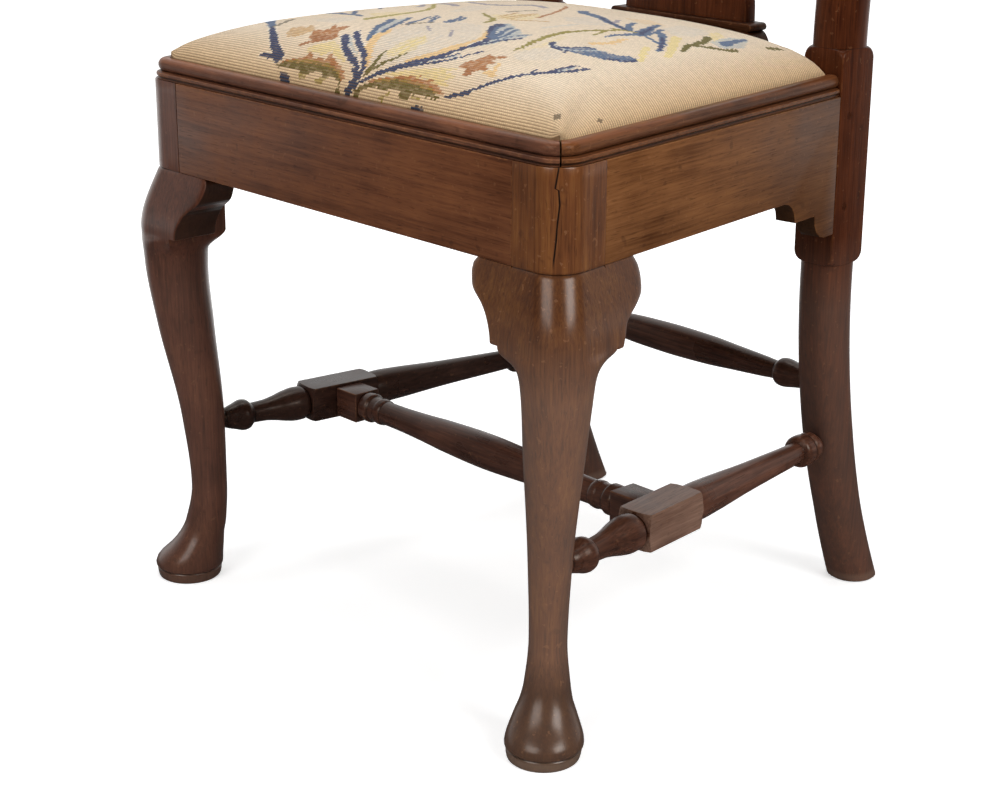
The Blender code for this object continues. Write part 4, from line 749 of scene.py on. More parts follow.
def post_ring(height):
    """The right rear post's section at a height."""
    up_leg = 1 - below_block(height)
    swell = POST_HALF + FOOT_SWELL * max(0, 1 - up_leg * 4) - max(0, FOOT_EDGE - height)
    below = ROUND_CORNER + (POST_HALF - ROUND_CORNER) * max(0, 1 - up_leg * 2)
    # The stops: over 9 mm the square corners are carved over in a quarter round
    low_stop = unit((height - (BLOCK_LOW + 0.001)) / STOP)
    high_stop = unit((BLOCK_HIGH + 0.004 - height) / STOP)
    round_corner, stop = (below, low_stop) if height < (BLOCK_LOW + BLOCK_HIGH) / 2 else (ROUND_CORNER, high_stop)
    corner = round_corner + (SQUARE_CORNER - round_corner) * math.sqrt(1 - (1 - stop) ** 2)
    # Above the seat the post thins from front to back, to end flush with the crest
    thin = eased((height - THIN_FROM) / (POST_TOP - THIN_FROM))
    return rounded_ring(post_middle(height), swell, swell + (CREST_HALF_DEPTH - swell) * thin, corner)


heights = [0.0, 0.0006, 0.0015] + list(np.arange(0.006, 0.283, 0.007)) + [0.2866, 0.2869]
heights += list(np.arange(0.2871, 0.2965, 0.0006)) + list(np.linspace(0.30, 0.440, 10))
heights += list(np.arange(0.4448, 0.4540, 0.0006)) + [0.4541, 0.4544]
heights += list(np.arange(0.458, 0.934, 0.010)) + [0.9347]
post_rings = [post_ring(z) for z in heights]
dress(lofted("rear_post_right_shaped", post_rings), post_wood, "walnut", "frame", "rear_post_right")
dress(lofted("rear_post_left_shaped", mirrored(post_rings)), post_wood, "walnut", "frame", "rear_post_left")
print("post rings:", len(post_rings))

# %% [markdown]
# ## Shoe, splat and crest
# The shoe is moulded in one length with a hollow and a bead, and holds the foot of the splat.
# The vase-shaped splat is sawn from thin wood and leans with the posts, and the crest ties all three.

# %% Shoe
SHOE_LOW, SHOE_BAND, SHOE_NECK, SHOE_TOP = 0.4203, 0.4290, 0.4540, 0.4600
SHOE_HALF, SHOE_FACE, SHOE_BACK = 0.0750, 0.35937, 0.38157


def shoe_rings():
    """Rings up the shoe: a plain band, a hollow, then a bead."""
    rows = [(SHOE_LOW, -0.0080), (SHOE_LOW + 0.0006, -0.0085), (SHOE_BAND - 0.0008, -0.0085),
            (SHOE_BAND - 0.0002, -0.0082)]
    for a in np.linspace(0, math.pi / 2, 11)[1:]:
        rows.append((SHOE_BAND + (SHOE_NECK - SHOE_BAND) * math.sin(a), -0.0078 + 0.0118 * (1 - math.cos(a))))
    for a in np.linspace(-math.pi / 2, math.pi / 2, 13)[1:]:
        rows.append((SHOE_NECK + (SHOE_TOP - SHOE_NECK) * (0.5 + 0.5 * math.sin(a)), 0.0016 - 0.0034 * math.cos(a)))
    rings = []
    for height, inset in rows:
        near = SHOE_FACE + (inset + 0.0085) * 0.3
        middle = (0, (near + SHOE_BACK) / 2, height)
        rings.append(rounded_ring(middle, SHOE_HALF - inset, (SHOE_BACK - near) / 2, 0.0008, 4))
    return rings


dress(lofted("shoe_moulded", shoe_rings()), back_wood, "walnut", "frame", "shoe")

# %% Splat and crest
# Each row of the splat: share of its height, half width
SPLAT = smooth(((0.00, 0.0660), (0.03, 0.0652), (0.05, 0.0610), (0.09, 0.0460), (0.15, 0.0340), (0.22, 0.0320),
                (0.30, 0.0400), (0.42, 0.0600), (0.54, 0.0740), (0.62, 0.0745), (0.69, 0.0640), (0.76, 0.0470),
                (0.83, 0.0385), (0.90, 0.0410), (1.00, 0.0580)))
SPLAT_LOW, SPLAT_HIGH, SPLAT_Y, SPLAT_HALF_THICK = 0.4603, 0.9347, 0.37375, 0.0062
splat_rings = []
for share in np.linspace(0, 1, 121):
    height = SPLAT_LOW + share * (SPLAT_HIGH - SPLAT_LOW)
    middle = (0, SPLAT_Y + back_offset(height), height)
    splat_rings.append(rounded_ring(middle, float(SPLAT(share)[0]), SPLAT_HALF_THICK, 0.0012, 4))
dress(lofted("splat_sawn", splat_rings), post_wood, "walnut", "frame", "splat")

# The crest's lower edge lies flat on the splat and on each post, and arches between them
CREST_HALF = 0.188
CREST_LOW = smooth(((0.00, 0.0), (0.325, 0.0), (0.48, 0.014), (0.61, 0.013), (0.755, 0.0), (0.985, 0.0),
                    (1.00, 0.003)))
CREST_HIGH = smooth(((0.00, 0.0700), (0.14, 0.0680), (0.30, 0.0560), (0.48, 0.0440), (0.64, 0.0440), (0.78, 0.0490),
                     (0.90, 0.0450), (0.97, 0.0300), (1.00, 0.0140)))
crest_rings = []
for share in np.linspace(-1, 1, 141):
    low, high = (POST_TOP + float(edge(abs(share))[0]) for edge in (CREST_LOW, CREST_HIGH))
    soft = min(0.010, (high - low) / 2.5)
    half = CREST_HALF_DEPTH
    section = [(-half + 0.0012, low), (half - 0.0012, low), (half - 0.0003, low + 0.0004), (half, low + 0.0012)]
    section += [(half * math.cos(a), high - soft + soft * math.sin(a)) for a in np.linspace(0, math.pi, 13)]
    section += [(-half, low + 0.0012), (-half + 0.0003, low + 0.0004)]
    crest_rings.append([Vector((share * CREST_HALF, POST_MID.y + BACK_LEAN + y, z)) for y, z in section])
dress(lofted("crest_rail_shaped", crest_rings), back_wood, "walnut", "frame", "crest_rail")
print("back pieces done")

# %% [markdown]
# ## Turned stretchers
# The stretchers are turned between square blocks. A line of points is the turner's profile, and a spin
# of forty-eight steps is the lathe. The square is left on by joining a bevelled block to the spindle.

# %% The lathe
def on_axis(start, end):
    """A place whose Z runs from one point towards another, with its Y upright."""
    way = (end - start).normalized()
    upright = Vector((0, 0, 1))
    return Matrix.Translation(start + SHIFT) @ Matrix((upright.cross(way), upright, way)).transposed().to_4x4()


def turn_on_lathe(name, profile, place):
    """Spin a profile of (distance along, radius) into a closed turned piece."""
    curve = smooth(profile)
    spots = sorted(set(np.round(np.concatenate([np.arange(profile[0][0], profile[-1][0], 0.0012),
                                                [row[0] for row in profile]]), 5)))
    line = [(0.0, spots[0])] + [(float(curve(at)[0]), at) for at in spots] + [(0.0, spots[-1])]
    piece = fresh(name, bpy.ops.mesh.primitive_plane_add)
    bpy.ops.object.mode_set(mode="EDIT")
    bpy.ops.mesh.delete(type="VERT")
    bm = bmesh.from_edit_mesh(piece.data)
    verts = [bm.verts.new((radius, 0, at)) for radius, at in line]
    for a, b in zip(verts, verts[1:]):
        bm.edges.new((a, b))
    bmesh.update_edit_mesh(piece.data)
    bpy.ops.mesh.select_all(action="SELECT")
    bpy.ops.mesh.spin(steps=48, angle=2 * math.pi, center=(0, 0, 0), axis=(0, 0, 1))
    bpy.ops.object.mode_set(mode="OBJECT")
    piece.data.transform(place)
    return true_up(piece)


def square_block(name, half, start, end, place):
    """A square block with eased edges."""
    block = fresh(name, bpy.ops.mesh.primitive_cube_add, size=1)
    size = Matrix.Diagonal((2 * half, 2 * half, end - start, 1))
    block.data.transform(place @ Matrix.Translation((0, 0, (start + end) / 2)) @ size)
    return apply_step(block, "BEVEL", width=0.0008, segments=3)


def join_block(piece, block, operation="UNION"):
    """Join a block to a turned piece, or keep what they share, and drop the block."""
    apply_step(piece, "BOOLEAN", object=block, operation=operation, solver="EXACT")
    bpy.data.objects.remove(block, do_unlink=True)
    return true_up(piece)


# %% Side stretchers
FRONT_TURNING = ((0.019, 0.0079), (0.028, 0.0110), (0.0355, 0.0131), (0.0390, 0.0126), (0.0420, 0.0104),
                 (0.0440, 0.0086), (0.0560, 0.0090), (0.0660, 0.0106), (0.0760, 0.0130), (0.0855, 0.0144),
                 (0.0915, 0.0142), (0.0945, 0.0125), (0.0960, 0.0112))
REAR_TURNING = ((0.2010, 0.0120), (0.1975, 0.0140), (0.1880, 0.0145), (0.1730, 0.0140), (0.1230, 0.0112),
                (0.0630, 0.0090), (0.0490, 0.0085), (0.0475, 0.0118), (0.0440, 0.0131), (0.0390, 0.0131),
                (0.0350, 0.0112), (0.0325, 0.0124), (0.0285, 0.0122), (0.0265, 0.0098), (0.0215, 0.0080))
STRETCHER_HEIGHT, BLOCK_AT, BLOCK_LENGTH, BLOCK_HALF = 0.1337, 0.129, 0.066, 0.0145
BLOCK_FIRST, BLOCK_LAST = BLOCK_AT - BLOCK_LENGTH / 2, BLOCK_AT + BLOCK_LENGTH / 2
# Round tenons run this far past the middle of the leg
TENON, TENON_RADIUS = 0.0117, 0.007
start = leg_centre(STRETCHER_HEIGHT / RAIL_LOW) + Vector((0, 0, STRETCHER_HEIGHT))
end = post_middle(STRETCHER_HEIGHT)
length, axis = (end - start).length, (end - start).normalized()
profile = [(-TENON, TENON_RADIUS), (0.018, TENON_RADIUS)] + list(FRONT_TURNING)
profile += [(length - back, radius) for back, radius in REAR_TURNING]
profile += [(length - 0.0205, TENON_RADIUS), (length + TENON, TENON_RADIUS)]
# The turning rounds the ends of the square block over their first 6 mm
sweep = [(0.006 * (1 - math.cos(a)), 0.0125 + 0.0093 * math.sin(a)) for a in np.linspace(0, math.pi / 2, 8)]
ends = [(BLOCK_FIRST + at, radius) for at, radius in sweep]
ends += [(BLOCK_LAST - at, radius) for at, radius in reversed(sweep)]
side_place = on_axis(start, end)
crossing = start + axis * BLOCK_AT
# The far stretcher takes the darker walnut, as painted shade
for label, hand, finish in (("right", Matrix(), turned_wood),
                            ("left", Matrix.Scale(-1, 4, (1, 0, 0)), shaded_far_turned_wood)):
    spindle = turn_on_lathe("side_stretcher_%s_turned" % label, profile, side_place)
    block = square_block("block", BLOCK_HALF, BLOCK_FIRST, BLOCK_LAST, side_place)
    block = join_block(block, turn_on_lathe("ends", ends, side_place), "INTERSECT")
    spindle = join_block(spindle, block)
    spindle.data.transform(hand)
    true_up(spindle)
    dress(spindle, finish, "dark_walnut", "frame", "side_stretcher_" + label, angle=32)
    # The square block is paler, as it was planed and not burnished on the lathe
    if label == "right":
        spindle.data.materials.append(block_wood)
        for face in spindle.data.polygons:
            spoke = face.center - SHIFT - start
            along = spoke.dot(axis)
            if abs(along - BLOCK_AT) < BLOCK_LENGTH / 2 + 0.001 and (spoke - axis * along).length > BLOCK_HALF - 0.001:
                face.material_index = 1
print("side stretcher length", round(length, 4))

# %% Medial and rear stretchers
MEDIAL = ((0.0000, 0.0105), (0.0030, 0.0122), (0.0090, 0.0124), (0.0120, 0.0104), (0.0180, 0.0104), (0.0210, 0.0112),
          (0.0250, 0.0108), (0.0270, 0.0098), (0.0450, 0.0100), (0.0750, 0.0112), (0.1050, 0.0130))
MEDIAL_HALF_TURNED, MEDIAL_BLOCK_HALF, MEDIAL_BELLY = 0.150, 0.0125, 0.0143
middle = crossing.x
half_run = [(0.0003, TENON_RADIUS), (middle - MEDIAL_HALF_TURNED - 0.001, TENON_RADIUS)]
half_run += [(middle - MEDIAL_HALF_TURNED + at, radius) for at, radius in MEDIAL]
profile = half_run + [(middle, MEDIAL_BELLY)] + [(2 * middle - at, radius) for at, radius in reversed(half_run)]
cross_place = on_axis(Vector((-middle, crossing.y, crossing.z)), Vector((middle, crossing.y, crossing.z)))
medial = turn_on_lathe("medial_stretcher_turned", profile, cross_place)
shoulder = middle - BLOCK_HALF * 1.012
for first, last in ((middle - shoulder, middle - MEDIAL_HALF_TURNED),
                    (middle + MEDIAL_HALF_TURNED, middle + shoulder)):
    medial = join_block(medial, square_block("block", MEDIAL_BLOCK_HALF, first, last, cross_place))
dress(medial, cross_wood, "dark_walnut", "frame", "medial_stretcher", angle=32)

REAR = ((0.0200, 0.0083), (0.0300, 0.0103), (0.0400, 0.0119), (0.0440, 0.0115), (0.0475, 0.0092), (0.0490, 0.0076),
        (0.0630, 0.0086), (0.0950, 0.0106), (0.1250, 0.0124))
REAR_HEIGHT, REAR_BELLY = 0.1822, 0.0131
end = post_middle(REAR_HEIGHT)
length = 2 * end.x
half_run = [(-TENON, TENON_RADIUS), (0.019, TENON_RADIUS)] + list(REAR)
profile = half_run + [(length / 2, REAR_BELLY)] + [(length - at, radius) for at, radius in reversed(half_run)]
rear = turn_on_lathe("rear_stretcher_turned", profile, on_axis(Vector((-end.x, end.y, end.z)), end))
dress(rear, cross_wood, "dark_walnut", "frame", "rear_stretcher", angle=32)
print("stretchers done")

# %% [markdown]
# ## Under the seat: corner blocks, slip frame, webbing and sackcloth
# Seen from below, the loose seat shows a plain beech frame, bands of jute webbing woven over and under,
# and coarse sackcloth above them. Glue blocks of pine fill the frame's corners.

# %% Plain woods and cloths
def plain_wood(name, dark, light, grain, rough):
    """Unpolished wood, sawn: pale, with straight lines along the grain and no gloss."""
    finish, tree, shader = begin(name)
    spot = put(tree, "TexCoord", {}, "Object")
    laid = put(tree, "Mapping", {"Vector": spot, "Rotation": grain})
    stretched = put(tree, "VectorMath", {0: laid, 1: (0.05, 1, 1)}, operation="MULTIPLY")
    # Growth lines 3 mm apart
    lines = put(tree, "TexNoise", {"Vector": stretched, "Scale": 1000 / 3, "Detail": 4}, "Fac")
    stops = ((0.35, linear(dark)), (0.65, linear(light)))
    colour = put(tree, "ValToRGB", {"Fac": lines}, stops=stops)
    bump = put(tree, "Bump", {"Height": lines, "Strength": 0.3, "Distance": 0.0004})
    fill(tree, shader, {"Base Color": colour, "Normal": bump, "Roughness": rough})
    return finish


def woven(name, dark, light, pitch):
    """Coarse plain-woven bast cloth: threads over and under, matt and hairy."""
    finish, tree, shader = begin(name)
    spot = put(tree, "TexCoord", {}, "Object")
    threads = [put(tree, "TexWave", {"Vector": spot, "Scale": 1000 / pitch / 20 * math.pi, "Distortion": 0.6,
                                     "Detail": 1.0, "Detail Scale": 2.0}, "Fac", bands_direction=way)
               for way in ("X", "Y")]
    weave = put(tree, "Math", {0: threads[0], 1: threads[1]}, operation="MULTIPLY")
    hair = put(tree, "TexNoise", {"Vector": spot, "Scale": 1000 / 3, "Detail": 4}, "Fac")
    tone = put(tree, "Math", {0: weave, 1: 0.6, 2: hair}, operation="MULTIPLY_ADD")
    stops = ((0.35, linear(dark)), (0.95, linear(light)))
    colour = put(tree, "ValToRGB", {"Fac": tone}, stops=stops)
    bump = put(tree, "Bump", {"Height": weave, "Strength": 0.7, "Distance": 0.0006})
    fill(tree, shader, {"Base Color": colour, "Normal": bump, "Roughness": 0.9})
    return finish


pine = plain_wood("pine_sawn", "#8A6238", "#B98E5C", ALONG_Z, 0.7)
beech_x = plain_wood("beech_sawn_cross", "#93694A", "#BD9670", ALONG_X, 0.65)
beech_y = plain_wood("beech_sawn_long", "#93694A", "#BD9670", (0, 0, math.pi / 2), 0.65)
# Jute threads 2.4 mm apart in the webbing and 1.8 mm in the sackcloth
jute = woven("jute_webbing_woven", "#6B5334", "#A88B5E", 2.4)
sacking = woven("jute_sackcloth_woven", "#6E5A3C", "#B09A70", 1.8)

# %% Corner blocks and slip frame
SAWN_EDGE = 0.0008
for where in ("front_left", "front_right", "rear_left", "rear_right"):
    dress(softened("corner_block_" + where, SAWN_EDGE, 2), pine, "pine", "frame", "corner_block_" + where)
for where, finish in (("front", beech_x), ("rear", beech_x), ("left", beech_y), ("right", beech_y)):
    dress(softened("slip_rail_" + where, SAWN_EDGE, 2), finish, "beech", "slip_seat", "slip_rail_" + where)


# %% Webbing, woven over and under
# A band: its width, the round of its edge (half its thickness), and its rise where it passes over another
WEB_WIDTH, WEB_ROUND, WEB_RISE = 0.050, 0.0006, 0.0016
# How far from a crossing's middle the band starts to rise, and over what length it rises
RISE_FROM, RISE_LENGTH = 0.0395, 0.0125


def web_rings(node, crossings, over_first):
    """Rings along one band: flat, with rounded edges, rising where it passes over another band."""
    low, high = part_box(node)
    low, high = low - SHIFT, high - SHIFT
    lengthwise = high.y - low.y > high.x - low.x
    first, last = (low.y, high.y) if lengthwise else (low.x, high.x)
    middle = (low.x + high.x) / 2 if lengthwise else (low.y + high.y) / 2
    overs = [at for k, at in enumerate(crossings) if (k % 2 == 0) == over_first]
    rings = []
    for at in np.linspace(first, last, 90):
        rise = max([eased((RISE_FROM - abs(at - spot)) / RISE_LENGTH) for spot in overs] + [0])
        height = low.z + WEB_RISE * rise + WEB_ROUND
        section = []
        for side, turned in ((-1, 90), (1, -90)):
            for a in np.radians(np.linspace(turned, turned + 180, 5)):
                edge = side * (WEB_WIDTH / 2 - WEB_ROUND)
                section.append((edge + WEB_ROUND * math.cos(a), height + WEB_ROUND * math.sin(a)))
        ring = [Vector((middle - w, at, z)) if lengthwise else Vector((at, middle + w, z)) for w, z in section]
        rings.append(ring)
    return rings


def band_middle(node, axis):
    """Where a band's middle line lies."""
    low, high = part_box(node)
    return ((low + high) / 2 - SHIFT)[axis]


long_at = [band_middle("webbing_long_%d" % k, 0) for k in (1, 2, 3)]
cross_at = [band_middle("webbing_cross_%d" % k, 1) for k in (1, 2, 3)]
for k in (1, 2, 3):
    for node, met, over in (("webbing_long_%d" % k, cross_at, k % 2 == 1),
                            ("webbing_cross_%d" % k, long_at, k % 2 == 0)):
        band = dress(lofted(node + "_woven", web_rings(node, met, over)), jute, "jute", "slip_seat", node)
        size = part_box(node)[1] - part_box(node)[0]
print("webbing bands woven at", [round(x, 3) for x in long_at], [round(y, 3) for y in cross_at])

# %% Sackcloth, stretched over the webbing
# Its front corners are cut off over this share of the cloth
CUT_SHARE, CUT_BACK, CUT_IN = 0.08, 0.012, 0.02
SACK_THICK, SACK_SAG = 0.0006, 0.00025
low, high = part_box("sackcloth")
sack = fresh("sackcloth_stretched", bpy.ops.mesh.primitive_grid_add, x_subdivisions=60, y_subdivisions=50, size=1)
back_half = high.x - (high.y - low.y) * math.tan(SIDE_TAPER)
for vert in sack.data.vertices:
    u, v = vert.co.x * 2, vert.co.y + 0.5
    half = high.x + (back_half - high.x) * v
    corner = max(abs(u) - (1 - CUT_SHARE), 0) * max(CUT_SHARE - v, 0) / CUT_SHARE ** 2
    y = low.y + v * (high.y - low.y) + corner * CUT_BACK
    sag = SACK_SAG * math.cos(u * 9) * math.cos(v * 8)
    vert.co = (u * half * (1 - CUT_IN * corner), y, (low.z + high.z) / 2 + sag)
apply_step(sack, "SOLIDIFY", thickness=SACK_THICK, offset=0)
dress(sack, sacking, "sackcloth", "slip_seat", "sackcloth")

# %% [markdown]
# ## The needlework seat
# The cover is wool needlework, pulled over horsehair and tacked under the frame. Cloth simulation gives its
# tight crown: a slightly low grid is held along its edge and blown up from within, and its movement is capped.
# The grid is then divided so that one face is about one stitch.

# %% Plan of the seat, with notches for the rear posts
SEAT_FRONT, SEAT_BACK, SEAT_FLOOR = 0.0133, 0.35857, 0.4203
SEAT_CORNER, SEAT_MIDDLE = 0.0062, 0.16
# Cells of the grid, and stitches along each side of a cell
COLUMNS, ROWS, STITCHES = 66, 48, 4
NOTCH_COLUMN, NOTCH_ROW, NOTCH_X, NOTCH_Y, NOTCH_SHARE = 10, 44, 0.1448, 0.3428, 0.786
# Heights above the rails: the cover's edge, and the crown above that edge. It softens near the notches
EDGE_RISE, CROWN_RISE, NOTCH_SOFT = 0.0152, 0.0395, 0.012


def seat_half_width(y, inset):
    """Half the seat's width at a depth, in from the side rails' faces."""
    return HALF_FRONT - (y * SIN_T + inset) / COS_T


def crown(x, y):
    """Height of the stuffed top above the rails: full at the front corners, softer at the back ones."""
    v = (y - (SEAT_FRONT + SEAT_BACK) / 2) / ((SEAT_BACK - SEAT_FRONT) / 2)
    u = x / seat_half_width(y, SEAT_FRONT)
    across, along = max(1e-6, 1 - abs(u) ** 3), max(1e-6, 1 - abs(v) ** 3)
    full = 0.1 + 0.5 * (1 - v)
    swell = (across ** -full + along ** -full - 1) ** (-1 / full)
    notch = math.hypot(max(NOTCH_X - abs(x), 0), max(NOTCH_Y - y, 0))
    return EDGE_RISE + CROWN_RISE * min(swell, notch / NOTCH_SOFT) ** 0.5


def even(rise, low, high, count):
    """Places from low to high that are evenly spaced along a curve of that rise."""
    at = np.linspace(low, high, 2000)
    steps = np.hypot(np.diff(at), np.diff([rise(t) for t in at]))
    run = np.concatenate([[0], np.cumsum(steps)])
    return list(np.interp(np.linspace(0, run[-1], count + 1), run, at))


row_y = even(lambda y: crown(0, y), SEAT_FRONT, NOTCH_Y, NOTCH_ROW)
row_y += even(lambda y: crown(0, y), NOTCH_Y, SEAT_BACK, ROWS - NOTCH_ROW)[1:]
middle_half = seat_half_width(SEAT_MIDDLE, SEAT_FRONT)
edge = even(lambda x: crown(x, SEAT_MIDDLE), -middle_half, -NOTCH_SHARE * middle_half, NOTCH_COLUMN)
inner = even(lambda x: crown(x, SEAT_MIDDLE), edge[-1], -edge[-1], COLUMNS - 2 * NOTCH_COLUMN)
column_u = [x / middle_half for x in edge[:-1] + inner + [-x for x in edge[-2::-1]]]
print("stitches:", COLUMNS * STITCHES, "by", ROWS * STITCHES)


def seat_plan(i, j):
    """Plan point of the grid, drawn in round the front corners."""
    y = row_y[j]
    x = column_u[i] * seat_half_width(y, SEAT_FRONT)
    inset = SEAT_FRONT + SEAT_CORNER
    middle = Vector((math.copysign(seat_half_width(inset, inset), x), inset))
    spoke = Vector((x, y)) - middle
    if abs(x) > abs(middle.x) and spoke.y < 0 and spoke.length > SEAT_CORNER:
        x, y = middle + spoke.normalized() * SEAT_CORNER
    return x, y


# %% The cover's grid and its sides
# The grid starts a little lower than the crown, so that the cloth has to stretch
SLACK = 0.95
cover = fresh("needlework_cover_stretched", bpy.ops.mesh.primitive_grid_add, x_subdivisions=COLUMNS,
              y_subdivisions=ROWS, size=1)
bpy.ops.object.mode_set(mode="EDIT")
bm = bmesh.from_edit_mesh(cover.data)
chart = bm.loops.layers.uv.verify()
spots = {vert: (round((vert.co.x + 0.5) * COLUMNS), round((vert.co.y + 0.5) * ROWS)) for vert in bm.verts}
for face in bm.faces:
    i = sum(spots[vert][0] for vert in face.verts) / 4
    j = sum(spots[vert][1] for vert in face.verts) / 4
    face.select = j > NOTCH_ROW and (i < NOTCH_COLUMN or i > COLUMNS - NOTCH_COLUMN)
    for loop in face.loops:
        loop[chart].uv = [place * STITCHES for place in spots[loop.vert]]
for vert, (i, j) in spots.items():
    x, y = seat_plan(i, j)
    vert.co = (x, FACE + y, RAIL_TOP + EDGE_RISE + (crown(x, y) - EDGE_RISE) * SLACK)
bmesh.update_edit_mesh(cover.data)
bpy.ops.mesh.select_mode(type="FACE")
bpy.ops.mesh.delete(type="FACE")
bpy.ops.mesh.select_mode(type="EDGE")
for depth in (0.5, 1.0):
    bpy.ops.mesh.select_all(action="DESELECT")
    bm = bmesh.from_edit_mesh(cover.data)
    for edge in bm.edges:
        edge.select = edge.is_boundary
    bm.select_flush_mode()
    bpy.ops.mesh.extrude_edges_move()
    bm = bmesh.from_edit_mesh(cover.data)
    for vert in bm.verts:
        if vert.select:
            vert.co.z = RAIL_TOP + EDGE_RISE + (SEAT_FLOOR - RAIL_TOP - EDGE_RISE) * depth
    bmesh.update_edit_mesh(cover.data)
bpy.ops.object.mode_set(mode="OBJECT")
print("cover grid:", len(cover.data.vertices), "points")

# %% Stretch the cover over its stuffing
CAP, FRAMES, COVER_THICK = 0.004, 20, 0.0012
held = cover.vertex_groups.new(name="held")
held.add([v.index for v in cover.data.vertices if v.co.z < RAIL_TOP + EDGE_RISE + 0.0002], 1.0, "REPLACE")
start = np.array([v.co for v in cover.data.vertices])
pick(cover)
cloth = cover.modifiers.new("stretch", "CLOTH")
cloth.settings.vertex_group_mass = "held"
cloth.settings.use_pressure = True
cloth.settings.uniform_pressure_force = 4
cloth.settings.tension_stiffness = 60
cloth.settings.compression_stiffness = 60
cloth.settings.bending_stiffness = 3
cloth.settings.effector_weights.gravity = 0
cloth.collision_settings.use_collision = False
scene = bpy.context.scene
for number in range(1, FRAMES + 1):
    scene.frame_set(number)
bpy.ops.object.modifier_apply(modifier="stretch")
scene.frame_set(1)
for vert, before in zip(cover.data.vertices, start):
    move = vert.co - Vector(before)
    if move.length > CAP:
        vert.co = Vector(before) + move * (CAP / move.length)
moved = np.linalg.norm(np.array([v.co for v in cover.data.vertices]) - start, axis=1)
print("cover moved by up to", round(float(moved.max()) * 1000, 2), "mm, crown at",
      round(max(v.co.z for v in cover.data.vertices), 4))

# %% One face for each stitch on the outside, and a plainer inside
apply_step(cover, "SUBSURF", levels=1, render_levels=1, uv_smooth="NONE", boundary_smooth="PRESERVE_CORNERS")
outer_count = len(cover.data.polygons)
apply_step(cover, "SOLIDIFY", thickness=COVER_THICK, offset=-1)
pick(cover)
bpy.ops.object.mode_set(mode="EDIT")
bpy.ops.mesh.select_mode(type="FACE")
bpy.ops.mesh.select_all(action="DESELECT")
bm = bmesh.from_edit_mesh(cover.data)
bm.faces.ensure_lookup_table()
for face in bm.faces[:outer_count]:
    face.select_set(face.normal.z > 0.05)
bmesh.update_edit_mesh(cover.data)
bpy.ops.mesh.subdivide(number_cuts=1, smoothness=1.0)
bpy.ops.object.mode_set(mode="OBJECT")
print("cover faces:", len(cover.data.polygons))

# %% [markdown]
# ## The pattern in wool
# The needlework is traditional leaf and flower work in wool: blue stems, olive and rust leaves, straw and peach
# blossoms on a cream ground. It is drawn on the seat's plan, in millimetres, as a worker would mark the canvas:
# first patches of ground colour, then strokes that swell and taper. Every face of the cover is one stitch and
# takes the colours of the strokes over it. Every row is nudged along, so edges come out ragged.

# %% Wools, and the patches under the strokes
WOOL = {"cream": "#E7D5BC", "pale": "#F0EADB", "navy": "#2C4066", "slate": "#536C8A", "mist": "#B4BBBB",
        "dusk": "#9F99A0", "drab": "#877E6C", "haze": "#DACFC0", "olive": "#66602C", "leaf": "#948A42",
        "moss": "#AA9E5A", "straw": "#E6D297", "peach": "#E7C38D", "tan": "#CBA677", "rust": "#AD7446",
        "brick": "#995E36"}
